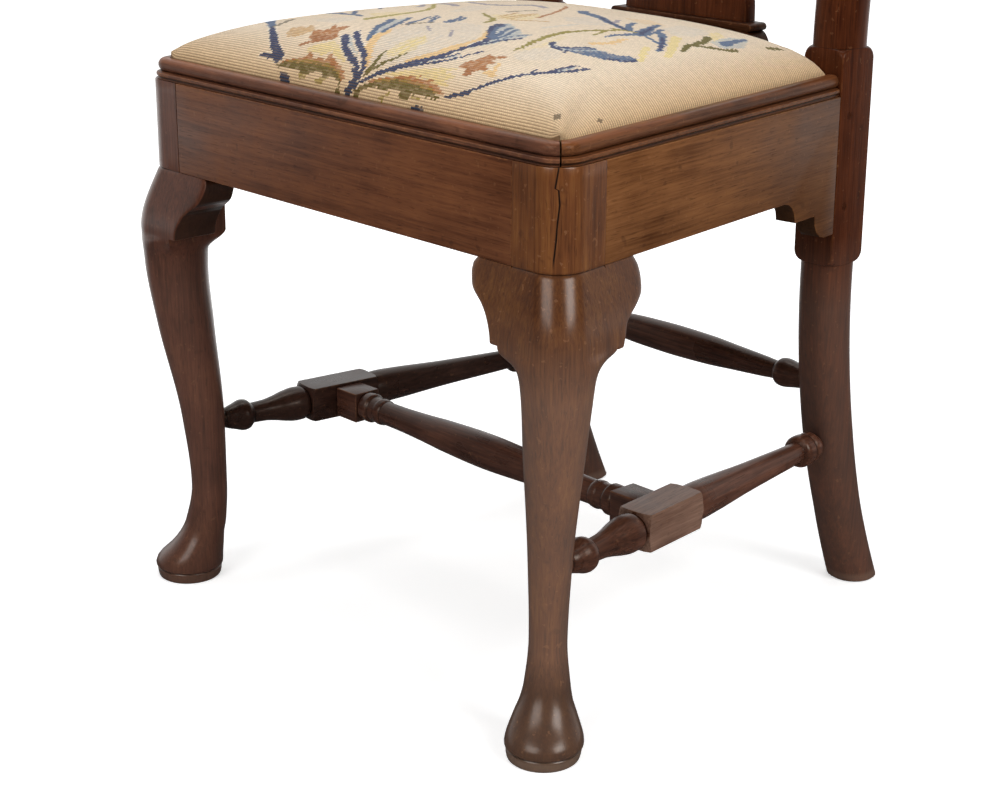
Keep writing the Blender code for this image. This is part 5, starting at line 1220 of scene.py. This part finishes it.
# Each patch: its wool, the share of its stitches that are worked, and its outline
PATCHES = (
    ("haze", 0.5, (-12, 50), (-20, 62), (-25, 80), (-22, 95), (-10, 112), (5, 125), (25, 125), (38, 112), (50, 98),
     (58, 85), (58, 70), (50, 58), (38, 47), (25, 38), (12, 30), (4, 38)),
    ("straw", 0.55, (6, 50), (4, 62), (8, 78), (14, 80), (22, 74), (27, 60), (24, 50), (14, 44)),
    ("straw", 0.8, (-72, 38), (-62, 47), (-55, 51), (-45, 46), (-35, 42), (-25, 37), (-20, 32), (-30, 34), (-40, 37),
     (-43, 40), (-50, 33), (-60, 36), (-66, 33)),
    ("straw", 0.8, (25, 28), (40, 33), (55, 38), (70, 43), (88, 46), (80, 40), (95, 38), (88, 32), (100, 28),
     (85, 28), (70, 31), (55, 31), (40, 29)),
    ("straw", 0.5, (-90, 112), (-80, 124), (-70, 132), (-58, 132), (-58, 115), (-66, 100), (-76, 104)),
    ("haze", 0.6, (-120, 82), (-105, 92), (-88, 98), (-80, 88), (-90, 78), (-108, 76)),
    ("haze", 0.5, (106, 80), (106, 100), (115, 108), (128, 104), (136, 95), (130, 80), (118, 72)),
    ("straw", 0.35, (101, 88), (104, 100), (100, 115), (95, 130), (92, 140), (98, 140), (104, 125), (108, 105),
     (106, 90)),
    ("tan", 0.85, (-118, 58), (-112, 50), (-107, 46), (-97, 48), (-93, 55), (-92, 60), (-97, 65), (-106, 68),
     (-104, 63), (-112, 63)),
    ("rust", 0.9, (-86, 76), (-82, 74), (-78, 70), (-74, 72), (-71, 76), (-67, 74), (-66, 68), (-67, 62), (-60, 58),
     (-58, 54), (-62, 51), (-68, 47), (-73, 44), (-80, 40), (-85, 38), (-84, 41), (-78, 46), (-84, 50), (-90, 50),
     (-86, 54), (-92, 58), (-91, 61), (-82, 63), (-80, 67), (-84, 71)),
    ("brick", 0.6, (-84, 52), (-74, 56), (-64, 58), (-58, 54), (-62, 51), (-68, 47), (-73, 44), (-80, 40), (-85, 38),
     (-78, 46)),
    ("rust", 0.9, (-84, 23), (-72, 27), (-66, 29), (-64, 36), (-56, 30), (-48, 32), (-42, 30), (-43, 38), (-34, 33),
     (-26, 30), (-16, 27), (-8, 22), (-5, 18), (-9, 18), (-16, 22), (-30, 24), (-45, 24), (-60, 22), (-72, 22)),
    ("brick", 0.6, (-58, 26), (-44, 29), (-30, 29), (-18, 25), (-24, 24), (-44, 25)),
    ("leaf", 0.55, (-80, 24), (-66, 27), (-52, 29), (-40, 29), (-26, 27), (-14, 23), (-8, 19), (-30, 22), (-60, 22)),
    ("olive", 0.92, (-88, 20), (-78, 24), (-62, 25), (-45, 26.5), (-30, 25.5), (-18, 23), (-10, 19.5), (-6, 16),
     (-4, 13.3), (-9, 13.3), (-9, 17), (-15, 19.5), (-22, 20), (-30, 18.5), (-33, 20.5), (-40, 20.8), (-46, 18.5),
     (-54, 17.5), (-58, 19.8), (-70, 20), (-82, 19)),
    ("moss", 0.8, (-60, 17), (-54, 18.5), (-46, 18.5), (-50, 15.5)),
    ("moss", 0.8, (-36, 16), (-30, 18.5), (-22, 19.5), (-28, 15.5)),
    ("rust", 0.9, (16, 21), (26, 25), (38, 28), (50, 30), (64, 34), (60, 30), (70, 30), (84, 33), (76, 29), (90, 27),
     (100, 22.5), (88, 22), (72, 24), (60, 23.5), (48, 24.5), (40, 22.5), (26, 21.5)),
    ("brick", 0.6, (28, 24), (44, 28), (56, 28), (70, 26), (58, 25), (44, 25)),
    ("leaf", 0.55, (24, 23), (38, 26.5), (52, 28), (66, 27.5), (80, 26), (94, 23), (70, 22), (40, 21)),
    ("olive", 0.92, (9, 13.3), (12, 16.5), (18, 20), (28, 22.5), (40, 24.5), (44, 26.5), (50, 25.5), (58, 25),
     (70, 25), (86, 23), (99, 20), (90, 18.8), (76, 19.5), (68, 19), (66, 16.2), (58, 16), (56, 19.5), (48, 20),
     (40, 18.5), (28, 18.8), (20, 17), (15, 13.3)),
    ("moss", 0.8, (38, 14.5), (44, 17), (48, 18), (42, 14.2)),
    ("moss", 0.8, (68, 17.5), (80, 18.8), (76, 16.5)),
    ("navy", 1.0, (-78, 16.6), (-70, 17), (-66, 15.6), (-61, 13.3), (-72, 13.3), (-76, 14.6)),
    ("navy", 1.0, (70, 13.3), (78, 15), (88, 14.8), (84, 13.3)),
    ("rust", 0.95, (90, 72), (93, 71), (96, 68), (100, 70), (104, 74), (107, 72), (103, 66), (104, 62), (110, 62),
     (107, 58), (103, 56), (108, 53), (111, 51), (109, 48), (103, 48), (103, 44), (103, 40), (100, 40), (96, 43),
     (93, 47), (85, 48), (85, 53), (86, 57), (90, 58), (91, 64)),
    ("brick", 0.5, (93, 50), (103, 50), (103, 44), (103, 40), (100, 40), (95, 44)),
    ("slate", 0.95, (103, 121), (106, 116), (112, 110), (122, 109), (128, 112), (140, 116), (150, 122), (156, 133),
     (158, 147), (154, 151), (150, 149), (147, 142), (140, 135), (137, 139), (134, 133), (128, 136), (123, 128),
     (118, 117), (112, 115), (107, 119)),
    ("mist", 0.85, (62, 74), (60, 95), (52, 106), (42, 116), (30, 132), (28, 140), (33, 144), (42, 139), (52, 134),
     (60, 130), (68, 122), (76, 125), (80, 112), (76, 98), (72, 84), (67, 74)),
    ("mist", 0.8, (-50, 62), (-40, 55), (-28, 47), (-16, 41), (-6, 36), (-14, 39), (-28, 45), (-40, 51), (-52, 60)),
    ("mist", 0.8, (-52, 102), (-47, 96), (-44, 86), (-38, 76), (-30, 64), (-31, 76), (-33, 90), (-38, 104),
     (-44, 113), (-46, 104)),
    ("mist", 0.8, (30, 32), (45, 42), (58, 49), (70, 57), (74, 64), (66, 58), (55, 51), (42, 44)),
    ("haze", 0.6, (-60, 188), (-48, 196), (-36, 190), (-34, 165), (-42, 150), (-52, 170)),
    ("haze", 0.6, (36, 195), (45, 215), (70, 205), (80, 195), (70, 185), (50, 185)),
    ("straw", 0.5, (-10, 165), (0, 180), (10, 195), (22, 185), (30, 170), (24, 158), (12, 150), (0, 158)),
    ("peach", 0.4, (60, 235), (75, 250), (95, 245), (85, 230)),
    ("haze", 0.6, (103, 232), (94, 260), (109, 272), (122, 263), (126, 238), (119, 225)),
    ("straw", 0.7, (122, 261), (115, 278), (128, 272), (138, 249)),
    ("mist", 0.7, (138, 245), (130, 273), (133, 294), (150, 269), (150, 247)),
)
print("patches:", len(PATCHES))

# %% Strokes
# Each stroke: its wool, its width at the start and at the end, and the points that it runs through
STROKES = (
    ("navy", 6, 3.5, (-89, 25), (-95, 28), (-102, 32), (-110, 36.5), (-118, 41.5), (-126, 47), (-135, 53), (-145, 60)),
    ("slate", 4, 9, (-143, 59), (-152, 65), (-162, 72), (-172, 80), (-181, 88)),
    ("navy", 1.5, 4, (-112, 25), (-104, 25.3), (-96, 25.8)),
    ("drab", 5, 3, (-144, 78), (-141, 70), (-138, 58)),
    ("slate", 3, 4, (-88, 102), (-97, 105), (-108, 104), (-120, 107), (-135, 108)),
    ("slate", 3, 3, (-100, 104), (-108, 112), (-118, 121)),
    ("peach", 4, 7, (2, 33), (-8, 44), (-18, 54), (-24, 63), (-28, 78)),
    ("peach", 4, 8, (36, 44), (45, 52), (52, 62), (56, 75)),
    ("peach", 5, 3, (57, 78), (58, 90), (54, 101), (44, 112)),
    ("navy", 5, 2.5, (-54, 59), (-47, 54), (-38, 46.5), (-28, 41), (-19, 37), (-9, 33), (-1, 27), (4, 20), (2, 14)),
    ("navy", 4, 2.5, (-51, 68), (-44, 62.5), (-36, 57), (-28, 52), (-19, 47), (-10, 42), (-3, 36), (4, 29), (7, 22),
     (4, 15)),
    ("slate", 5, 3.5, (-51, 102), (-47, 94), (-45, 85), (-40, 76), (-33, 67), (-29, 61)),
    ("slate", 3.5, 3, (-44, 113), (-39, 104), (-35, 93), (-32, 84), (-30, 75)),
    ("slate", 2, 4, (-36, 126), (-31, 113), (-27, 97)),
    ("slate", 2, 4, (-30, 131), (-24, 119), (-18, 111)),
    ("slate", 2, 3, (-35, 133), (-29, 122)),
    ("slate", 2, 5, (-18, 143), (-12, 132), (-8, 119)),
    ("slate", 2, 4, (-12, 140), (-6, 130), (-6, 119)),
    ("drab", 2, 2, (-29, 94), (-21, 106), (-14, 112)),
    ("moss", 5, 3, (-73, 96), (-68, 108), (-65, 122), (-63, 136), (-65, 148), (-71, 159), (-80, 168), (-93, 179)),
    ("navy", 2.5, 4.5, (4, 13.3), (9, 18), (15, 23), (22, 29), (30, 35), (38, 40.5), (46, 46.5), (53, 52), (58, 58),
     (61, 65), (63, 73)),
    ("navy", 4, 6, (63, 72), (64, 82), (64, 92), (61, 100), (53, 107), (44, 116), (34, 127), (30, 136)),
    ("navy", 3, 2, (18, 25), (28, 31.5), (40, 38), (50, 42.5), (60, 47), (68, 51.5), (73, 57), (77, 64), (82, 72)),
    ("navy", 2.5, 2, (45, 44), (55, 50.5), (64, 57), (68, 63)),
    ("navy", 3, 2.5, (66, 78), (70, 88), (74, 98), (78, 106), (79, 113)),
    ("slate", 3.5, 3, (64, 98), (58, 110), (52, 121), (47, 132)),
    ("slate", 3, 2, (67, 99), (64, 112), (59, 122), (55, 131)),
    ("slate", 2, 2, (70, 103), (70, 113), (75, 124)),
    ("slate", 3, 3, (60, 100), (50, 112), (40, 124), (35, 138)),
    ("slate", 2, 1.5, (71, 95), (74, 104)),
    ("olive", 3, 2, (10, 26), (9, 36), (6, 43), (5, 49)),
    ("olive", 3, 2, (11, 28), (16, 37), (22, 45), (25, 51)),
    ("haze", 2, 2, (-5, 62), (-3, 78), (0, 88)),
    ("haze", 2, 2, (26, 62), (28, 74), (24, 86)),
    ("dusk", 1, 1, (-8, 100), (4, 92)),
    ("dusk", 1, 1, (20, 100), (30, 88)),
    ("straw", 2, 2, (13, 50), (13, 80)),
    ("straw", 2, 2, (20, 50), (18, 76)),
    ("peach", 3, 2, (112, 61), (117, 52), (120, 48)),
    ("peach", 4, 3, (114, 48), (124, 45)),
    ("navy", 2, 3.5, (102, 21.5), (110, 24.5), (118, 27)),
    ("navy", 2, 4, (114, 26.5), (121, 31), (128, 37.5), (134, 44), (140, 51), (147, 60), (153, 68), (157, 74)),
    ("navy", 3, 2, (152, 68), (153, 80), (156, 94)),
    ("navy", 3.5, 2.5, (157, 73), (162, 84), (162, 96)),
    ("mist", 2, 2, (155.5, 74), (157.5, 88)),
    ("navy", 2, 1, (145, 59), (143, 67)),
    ("leaf", 2, 5, (100, 87), (98, 97), (94, 108), (90, 120), (87, 131)),
    ("leaf", 5, 3, (87, 131), (84.5, 144), (84, 155), (86, 166), (90, 177), (95, 188), (98, 199)),
    ("leaf", 3, 2, (95, 178), (99, 170), (101, 163)),
    ("navy", 3, 4, (103, 121), (107, 114.5), (113, 110.5), (122, 110)),
    ("navy", 2.5, 2, (116, 113), (121, 120), (126, 133)),
    ("mist", 1.5, 1.5, (122, 112), (130, 120), (136, 136)),
    ("slate", 2, 2, (132, 114), (142, 122), (150, 134), (155, 148)),
    ("navy", 2, 2, (150, 126), (156, 138), (157, 149)),
    ("navy", 1.5, 1, (124, 112.5), (128, 107)),
    ("peach", 3, 5, (118, 177), (121, 166), (123.5, 157), (121, 148), (119, 142)),
    ("straw", 4, 3, (138, 178), (146, 167), (152, 159), (158, 151)),
    ("straw", 6, 4, (125, 223), (133, 212), (142, 200), (149, 191), (154, 182)),
    ("slate", 7, 4, (21, 231), (29, 225), (40, 222), (52, 218.5), (61, 213), (71, 208.5), (82, 204), (97, 199)),
    ("dusk", 3, 3, (67, 222), (75, 210)),
    ("slate", 3, 6, (80, 226), (84, 217), (90, 209), (98, 200)),
    ("slate", 4, 8, (92, 239), (97, 227), (103, 214), (109, 202)),
    ("slate", 3, 4, (105, 229), (110, 216), (113, 205)),
    ("slate", 5, 3, (113, 219), (120, 214), (128, 205), (136, 196), (145, 183)),
    ("slate", 6, 2, (113, 200), (109, 190), (107, 180), (108, 167)),
    ("slate", 3, 3, (108, 200), (120, 199), (132, 196)),
    ("navy", 2, 2, (52, 219), (66, 211), (82, 204), (97, 199.5)),
    ("navy", 2, 3, (97, 228), (105, 211), (111, 201)),
    ("navy", 2, 2, (122, 212), (134, 198), (144, 185)),
    ("leaf", 3, 2, (90, 192), (97, 197), (106, 200)),
    ("olive", 2.5, 5, (149, 204), (144, 212), (141, 220), (139, 229), (137, 239), (133, 247), (129, 253)),
    ("olive", 3, 3, (141, 222), (146, 234), (152, 247), (153, 258)),
    ("haze", 4, 4, (62, 150), (63, 165), (65, 180)),
    ("rust", 3, 2, (25, 180), (20, 192), (15, 205), (8, 218), (2, 229), (-8, 242), (-14, 247)),
    ("leaf", 4, 2, (16, 137), (12, 146), (4, 153), (-8, 158), (-20, 165)),
    ("tan", 3, 3, (8, 158), (8, 175), (9, 192)),
    ("tan", 3, 2, (1, 164), (-3, 186)),
    ("tan", 3, 2, (15, 158), (13, 185)),
    ("drab", 3, 2, (-12, 184), (-9, 196), (-4, 206)),
    ("tan", 3, 2, (22, 158), (35, 167), (43, 172)),
    ("dusk", 5, 5, (-12, 222), (-22, 226), (-30, 224), (-38, 215)),
    ("dusk", 5, 4, (-40, 210), (-55, 202), (-70, 203), (-85, 208)),
    ("dusk", 7, 5, (-92, 187), (-80, 186), (-68, 181)),
    ("dusk", 4, 3, (-87, 160), (-95, 170), (-105, 178)),
    ("slate", 6, 3, (143, 255), (138, 272), (135, 288)),
    ("olive", 4, 3, (150, 297), (150, 312)),
)


def again(strokes, right, back):
    """The same strokes worked again the other way round, for the half that can't be seen."""
    return tuple((wool, start, end) + tuple((right - x, y + back) for x, y in path)
                 for wool, start, end, *path in strokes)


STROKES += again(STROKES[41:46], 8, 110) + again(STROKES[46:55], -8, 90) + again(STROKES[58:71], -20, 85)
print("strokes:", len(STROKES))


# %% Paint each stitch
def scatter(a, b, seed):
    """A fixed scatter from 0 to 1 for whole numbers a and b."""
    return np.modf(np.abs(np.sin(a * 12.9898 + b * 78.233 + seed)) * 43758.5453)[0]


def inside(outline, x, y):
    """Which points lie inside a closed outline."""
    found = np.zeros(len(x), dtype=bool)
    for (x0, y0), (x1, y1) in zip(outline, outline[1:] + outline[:1]):
        if y0 != y1:
            found ^= ((y0 > y) != (y1 > y)) & (x < (x1 - x0) * (y - y0) / (y1 - y0) + x0)
    return found


def under(path, start, end, x, y):
    """Which points lie under a stroke that swells or tapers along its path."""
    found = np.zeros(len(x), dtype=bool)
    for k, ((x0, y0), (x1, y1)) in enumerate(zip(path, path[1:])):
        t = ((x - x0) * (x1 - x0) + (y - y0) * (y1 - y0)) / ((x1 - x0) ** 2 + (y1 - y0) ** 2)
        t = np.clip(t, 0, 1)
        width = start + (end - start) * (k + t) / (len(path) - 1)
        found |= np.hypot(x - x0 - t * (x1 - x0), y - y0 - t * (y1 - y0)) < width / 2
    return found


mesh = cover.data
count = len(mesh.polygons)
middles = np.empty(count * 3)
mesh.polygons.foreach_get("center", middles)
middles = middles.reshape(-1, 3)
corners, first = np.empty(count, dtype=np.int32), np.empty(count, dtype=np.int32)
mesh.polygons.foreach_get("loop_total", corners)
mesh.polygons.foreach_get("loop_start", first)
chart = np.empty(len(mesh.loops) * 2)
mesh.uv_layers.active.data.foreach_get("uv", chart)
stitches = np.floor(np.add.reduceat(chart.reshape(-1, 2), first, axis=0) / corners[:, None])
column, row = stitches[:, 0], stitches[:, 1]
# How far a stitch may stray from the marked line along its row and across it, in millimetres
RAGGED_ALONG, RAGGED_ACROSS = 1.9, 0.8
x = middles[:, 0] * 1000 + (scatter(np.floor(column / 10), row, 1) - 0.5) * RAGGED_ALONG
y = (middles[:, 1] - FACE) * 1000 + (scatter(column, row, 2) - 0.5) * RAGGED_ACROSS
yarn = np.tile(np.array(linear(WOOL["cream"])), (count, 1))
uneven = (scatter(np.floor(column / 2), row, 5) - 0.5) * 0.5
# A stroke comes out thinner in stitches than it was marked, and no finer than one stitch
BOLD, FINEST = 1.3, 2.3


def work(wool_name, full, stitched):
    """Work a wool over part of the ground, more in some stitches than in others."""
    share = np.clip(full + uneven, 0, 1)[stitched, None]
    yarn[stitched] = yarn[stitched] * (1 - share) + np.array(linear(WOOL[wool_name])) * share


for wool_name, full, *outline in PATCHES:
    work(wool_name, full, inside(outline, x, y))
# A pale line runs along the wide blue stems, then each stroke is worked over it
WIDE, PALE_MARGIN = 4, 2.5
for wool_name, start_width, end_width, *path in STROKES:
    if wool_name == "navy" and max(start_width, end_width) >= WIDE:
        work("pale", 0.55, under(path, start_width + PALE_MARGIN, end_width + PALE_MARGIN, x, y))
for wool_name, start_width, end_width, *path in STROKES:
    start_width, end_width = (max(width * BOLD, FINEST) for width in (start_width, end_width))
    work(wool_name, 1.15, under(path, start_width, end_width, x, y))
# Two small dark stains: where they are, and their reach in stitches
for spot_x, spot_y, size in ((206, 25, 2.1), (209, 60, 1.4)):
    near = np.argmin(np.hypot(middles[:, 0] * 1000 - spot_x, (middles[:, 1] - FACE) * 1000 - spot_y))
    yarn[np.hypot(column - column[near], row - row[near]) < size] *= 0.3
# No two stitches, and no two lengths of yarn, are dyed quite alike
by_stitch = (scatter(column, row, 3) - 0.5) * 0.14
by_length = (scatter(row, np.floor(column / 24), 4) - 0.5) * 0.06
yarn[:, :3] *= (1 + by_stitch + by_length)[:, None]
yarn[:, 3] = 1
store = mesh.attributes.new("yarn", "FLOAT_COLOR", "CORNER")
store.data.foreach_set("color", np.repeat(yarn, corners, axis=0).astype(np.float32).ravel())
print("stitches in colour:", int((np.abs(yarn[:, 0] / yarn[:, 2] - 1.8) > 0.4).sum()))

# %% Soil along the edges, where hands and dust reach
points = np.array([v.co for v in mesh.vertices])
half = HALF_FRONT - ((points[:, 1] - FACE) * SIN_T + SEAT_FRONT) / COS_T
edge = np.minimum(half - np.abs(points[:, 0]), points[:, 1] - FACE - SEAT_FRONT)
SOIL_REACH = 0.045
soil = np.clip(1 - edge / SOIL_REACH, 0, 1) ** 1.5
store = mesh.attributes.new("soil", "FLOAT", "POINT")
store.data.foreach_set("value", soil.astype(np.float32))

# %% Wool needlework on canvas: soft ridges in rows, slanting stitches, no gloss
wool, tree, shader = begin("wool_needlework_on_canvas")
yarn_colour = put(tree, "Attribute", {}, "Color", attribute_name="yarn")
soiled = put(tree, "Attribute", {}, "Fac", attribute_name="soil")
along, upward = put(tree, "SeparateXYZ", {0: put(tree, "UVMap", {}, uv_map="UVMap")}).node.outputs[:2]
# One unit of the chart is one stitch: 1.9 mm along the row and 2.0 mm from row to row. The hollows between rows
# are drawn 2.5 mm apart, coarser than the stitches, so that they show
rows = put(tree, "Math", {0: upward, 1: 0.8}, operation="MULTIPLY")
slant = put(tree, "Math", {0: upward, 1: 0.6, 2: along}, operation="MULTIPLY_ADD")
ridge, twist, beside = (put(tree, "Math", {0: wave, 1: 0.5}, operation="PINGPONG") for wave in (rows, slant, along))
spot = put(tree, "TexCoord", {}, "Object")
fuzz = put(tree, "TexNoise", {"Vector": spot, "Scale": 1000 / 1.2, "Detail": 3}, "Fac")
# The hollows between rows and between stitches are painted dark brown: painted shade, made deeper near the soiled
# edges
gap = put(tree, "MapRange", {"Value": ridge, "From Min": 0.28, "From Max": 0.0})
nick_shade = put(tree, "MapRange", {"Value": beside, "From Min": 0.20, "From Max": 0.0, "To Max": 0.45})
gap = put(tree, "Math", {0: gap, 1: nick_shade}, operation="MAXIMUM")
depth = put(tree, "MapRange", {"Value": soiled, "To Min": 0.55, "To Max": 0.80})
gap = put(tree, "Math", {0: gap, 1: depth}, operation="MULTIPLY")
colour = put(tree, "Mix", {0: gap, 6: yarn_colour, 7: linear("#6B4E33")}, 2, data_type="RGBA")
colour = put(tree, "Mix", {0: soiled, 6: colour, 7: linear("#EBD8BC")}, 2, data_type="RGBA", blend_type="MULTIPLY")
height = put(tree, "Math", {0: twist, 1: 0.5, 2: ridge}, operation="MULTIPLY_ADD")
height = put(tree, "Math", {0: fuzz, 1: 0.3, 2: height}, operation="MULTIPLY_ADD")
bump = put(tree, "Bump", {"Height": height, "Strength": 0.8, "Distance": 0.0009})
fill(tree, shader, {"Base Color": colour, "Normal": bump, "Roughness": 0.95, "Specular IOR Level": 0.2,
                    "Sheen Weight": 0.1})
dress(cover, wool, "needlework", "slip_seat", "needlework_cover", "seat_stuffing", angle=60)

# %% [markdown]
# ## Floor and light
# A pale floor and three large soft lights stand in for the studio. The floor glows a little to the camera,
# so that it is white, and still takes the chair's shadow.

# %% Floor
# The level way from the camera to the chair
AWAY = (forward.x, forward.y, 0)
floor = fresh("floor", bpy.ops.mesh.primitive_plane_add, size=14)
paper, tree, shader = begin("studio_paper")
path = put(tree, "LightPath", {}).node.outputs
spot = put(tree, "TexCoord", {}, "Object")
far = put(tree, "VectorMath", {0: spot}, 1, operation="LENGTH")
white = put(tree, "MapRange", {"Value": far, "From Min": 0.4, "From Max": 1.5, "To Min": 0.55, "To Max": 1.0})
behind = put(tree, "VectorMath", {0: spot, 1: AWAY}, 1, operation="DOT_PRODUCT")
# Reflections see the white paper under and behind the chair, and a dim floor in front of it
back = put(tree, "MapRange", {"Value": behind, "From Min": 0.3, "From Max": 1.0})
front = put(tree, "Math", {0: 1.0, 1: back}, operation="SUBTRACT")
mirror = put(tree, "Math", {0: path["Is Glossy Ray"], 1: path["Is Transmission Ray"]}, operation="MAXIMUM")
dim, bright = (put(tree, "Math", {0: mirror, 1: side}, operation="MULTIPLY") for side in (front, back))
sheet = put(tree, "Mix", {0: dim, 6: linear("#F2F2F2"), 7: linear("#606060")}, 2, data_type="RGBA")
seen = put(tree, "Math", {0: path["Is Camera Ray"], 1: bright}, operation="MAXIMUM")
glow = put(tree, "Math", {0: seen, 1: white}, operation="MULTIPLY")
fill(tree, shader, {"Base Color": sheet, "Roughness": 0.9, "Specular IOR Level": 0.0,
                    "Emission Color": (1, 1, 1, 1), "Emission Strength": glow})
floor.data.materials.append(paper)


# %% Lights and world
def soft_light(name, place, aim, width, height, power):
    """A large rectangle of light, turned towards a point."""
    lamp = fresh(name, bpy.ops.object.light_add, type="AREA", location=place)
    lamp.data.shape = "RECTANGLE"
    lamp.data.size = width
    lamp.data.size_y = height
    lamp.data.energy = power
    lamp.rotation_euler = (Vector(aim) - Vector(place)).to_track_quat("-Z", "Y").to_euler()


soft_light("strip_left", (0.46, -2.30, 1.70), (0, 0, 0.35), 1.40, 1.2, 26)
soft_light("strip_right", (2.30, -0.05, 1.70), (0, 0, 0.35), 1.10, 1.2, 36)
soft_light("overhead", (-0.2, 0.1, 2.4), (0, 0, 0.3), 1.6, 1.6, 26)
world = bpy.context.scene.world or bpy.data.worlds.new("studio")
bpy.context.scene.world = world
world.use_nodes = True
tree = world.node_tree
path = put(tree, "LightPath", {}).node.outputs
way = put(tree, "TexCoord", {}, "Generated")
behind = put(tree, "VectorMath", {0: way, 1: AWAY}, 1, operation="DOT_PRODUCT")
# Reflections see the white backdrop behind the chair and the dim room in front of it
room = put(tree, "MapRange", {"Value": behind, "From Min": 0.0, "From Max": 0.6, "To Min": 0.10, "To Max": 1.0})
mirror = put(tree, "Math", {0: path["Is Glossy Ray"], 1: path["Is Transmission Ray"]}, operation="MAXIMUM")
strength = put(tree, "Mix", {0: mirror, 2: 0.20, 3: room}, data_type="FLOAT")
strength = put(tree, "Mix", {0: path["Is Camera Ray"], 2: strength, 3: 1.0}, data_type="FLOAT")
fill(tree, tree.nodes["Background"], {"Color": (1, 1, 1, 1), "Strength": strength})
bpy.context.scene.view_settings.view_transform = "Standard"
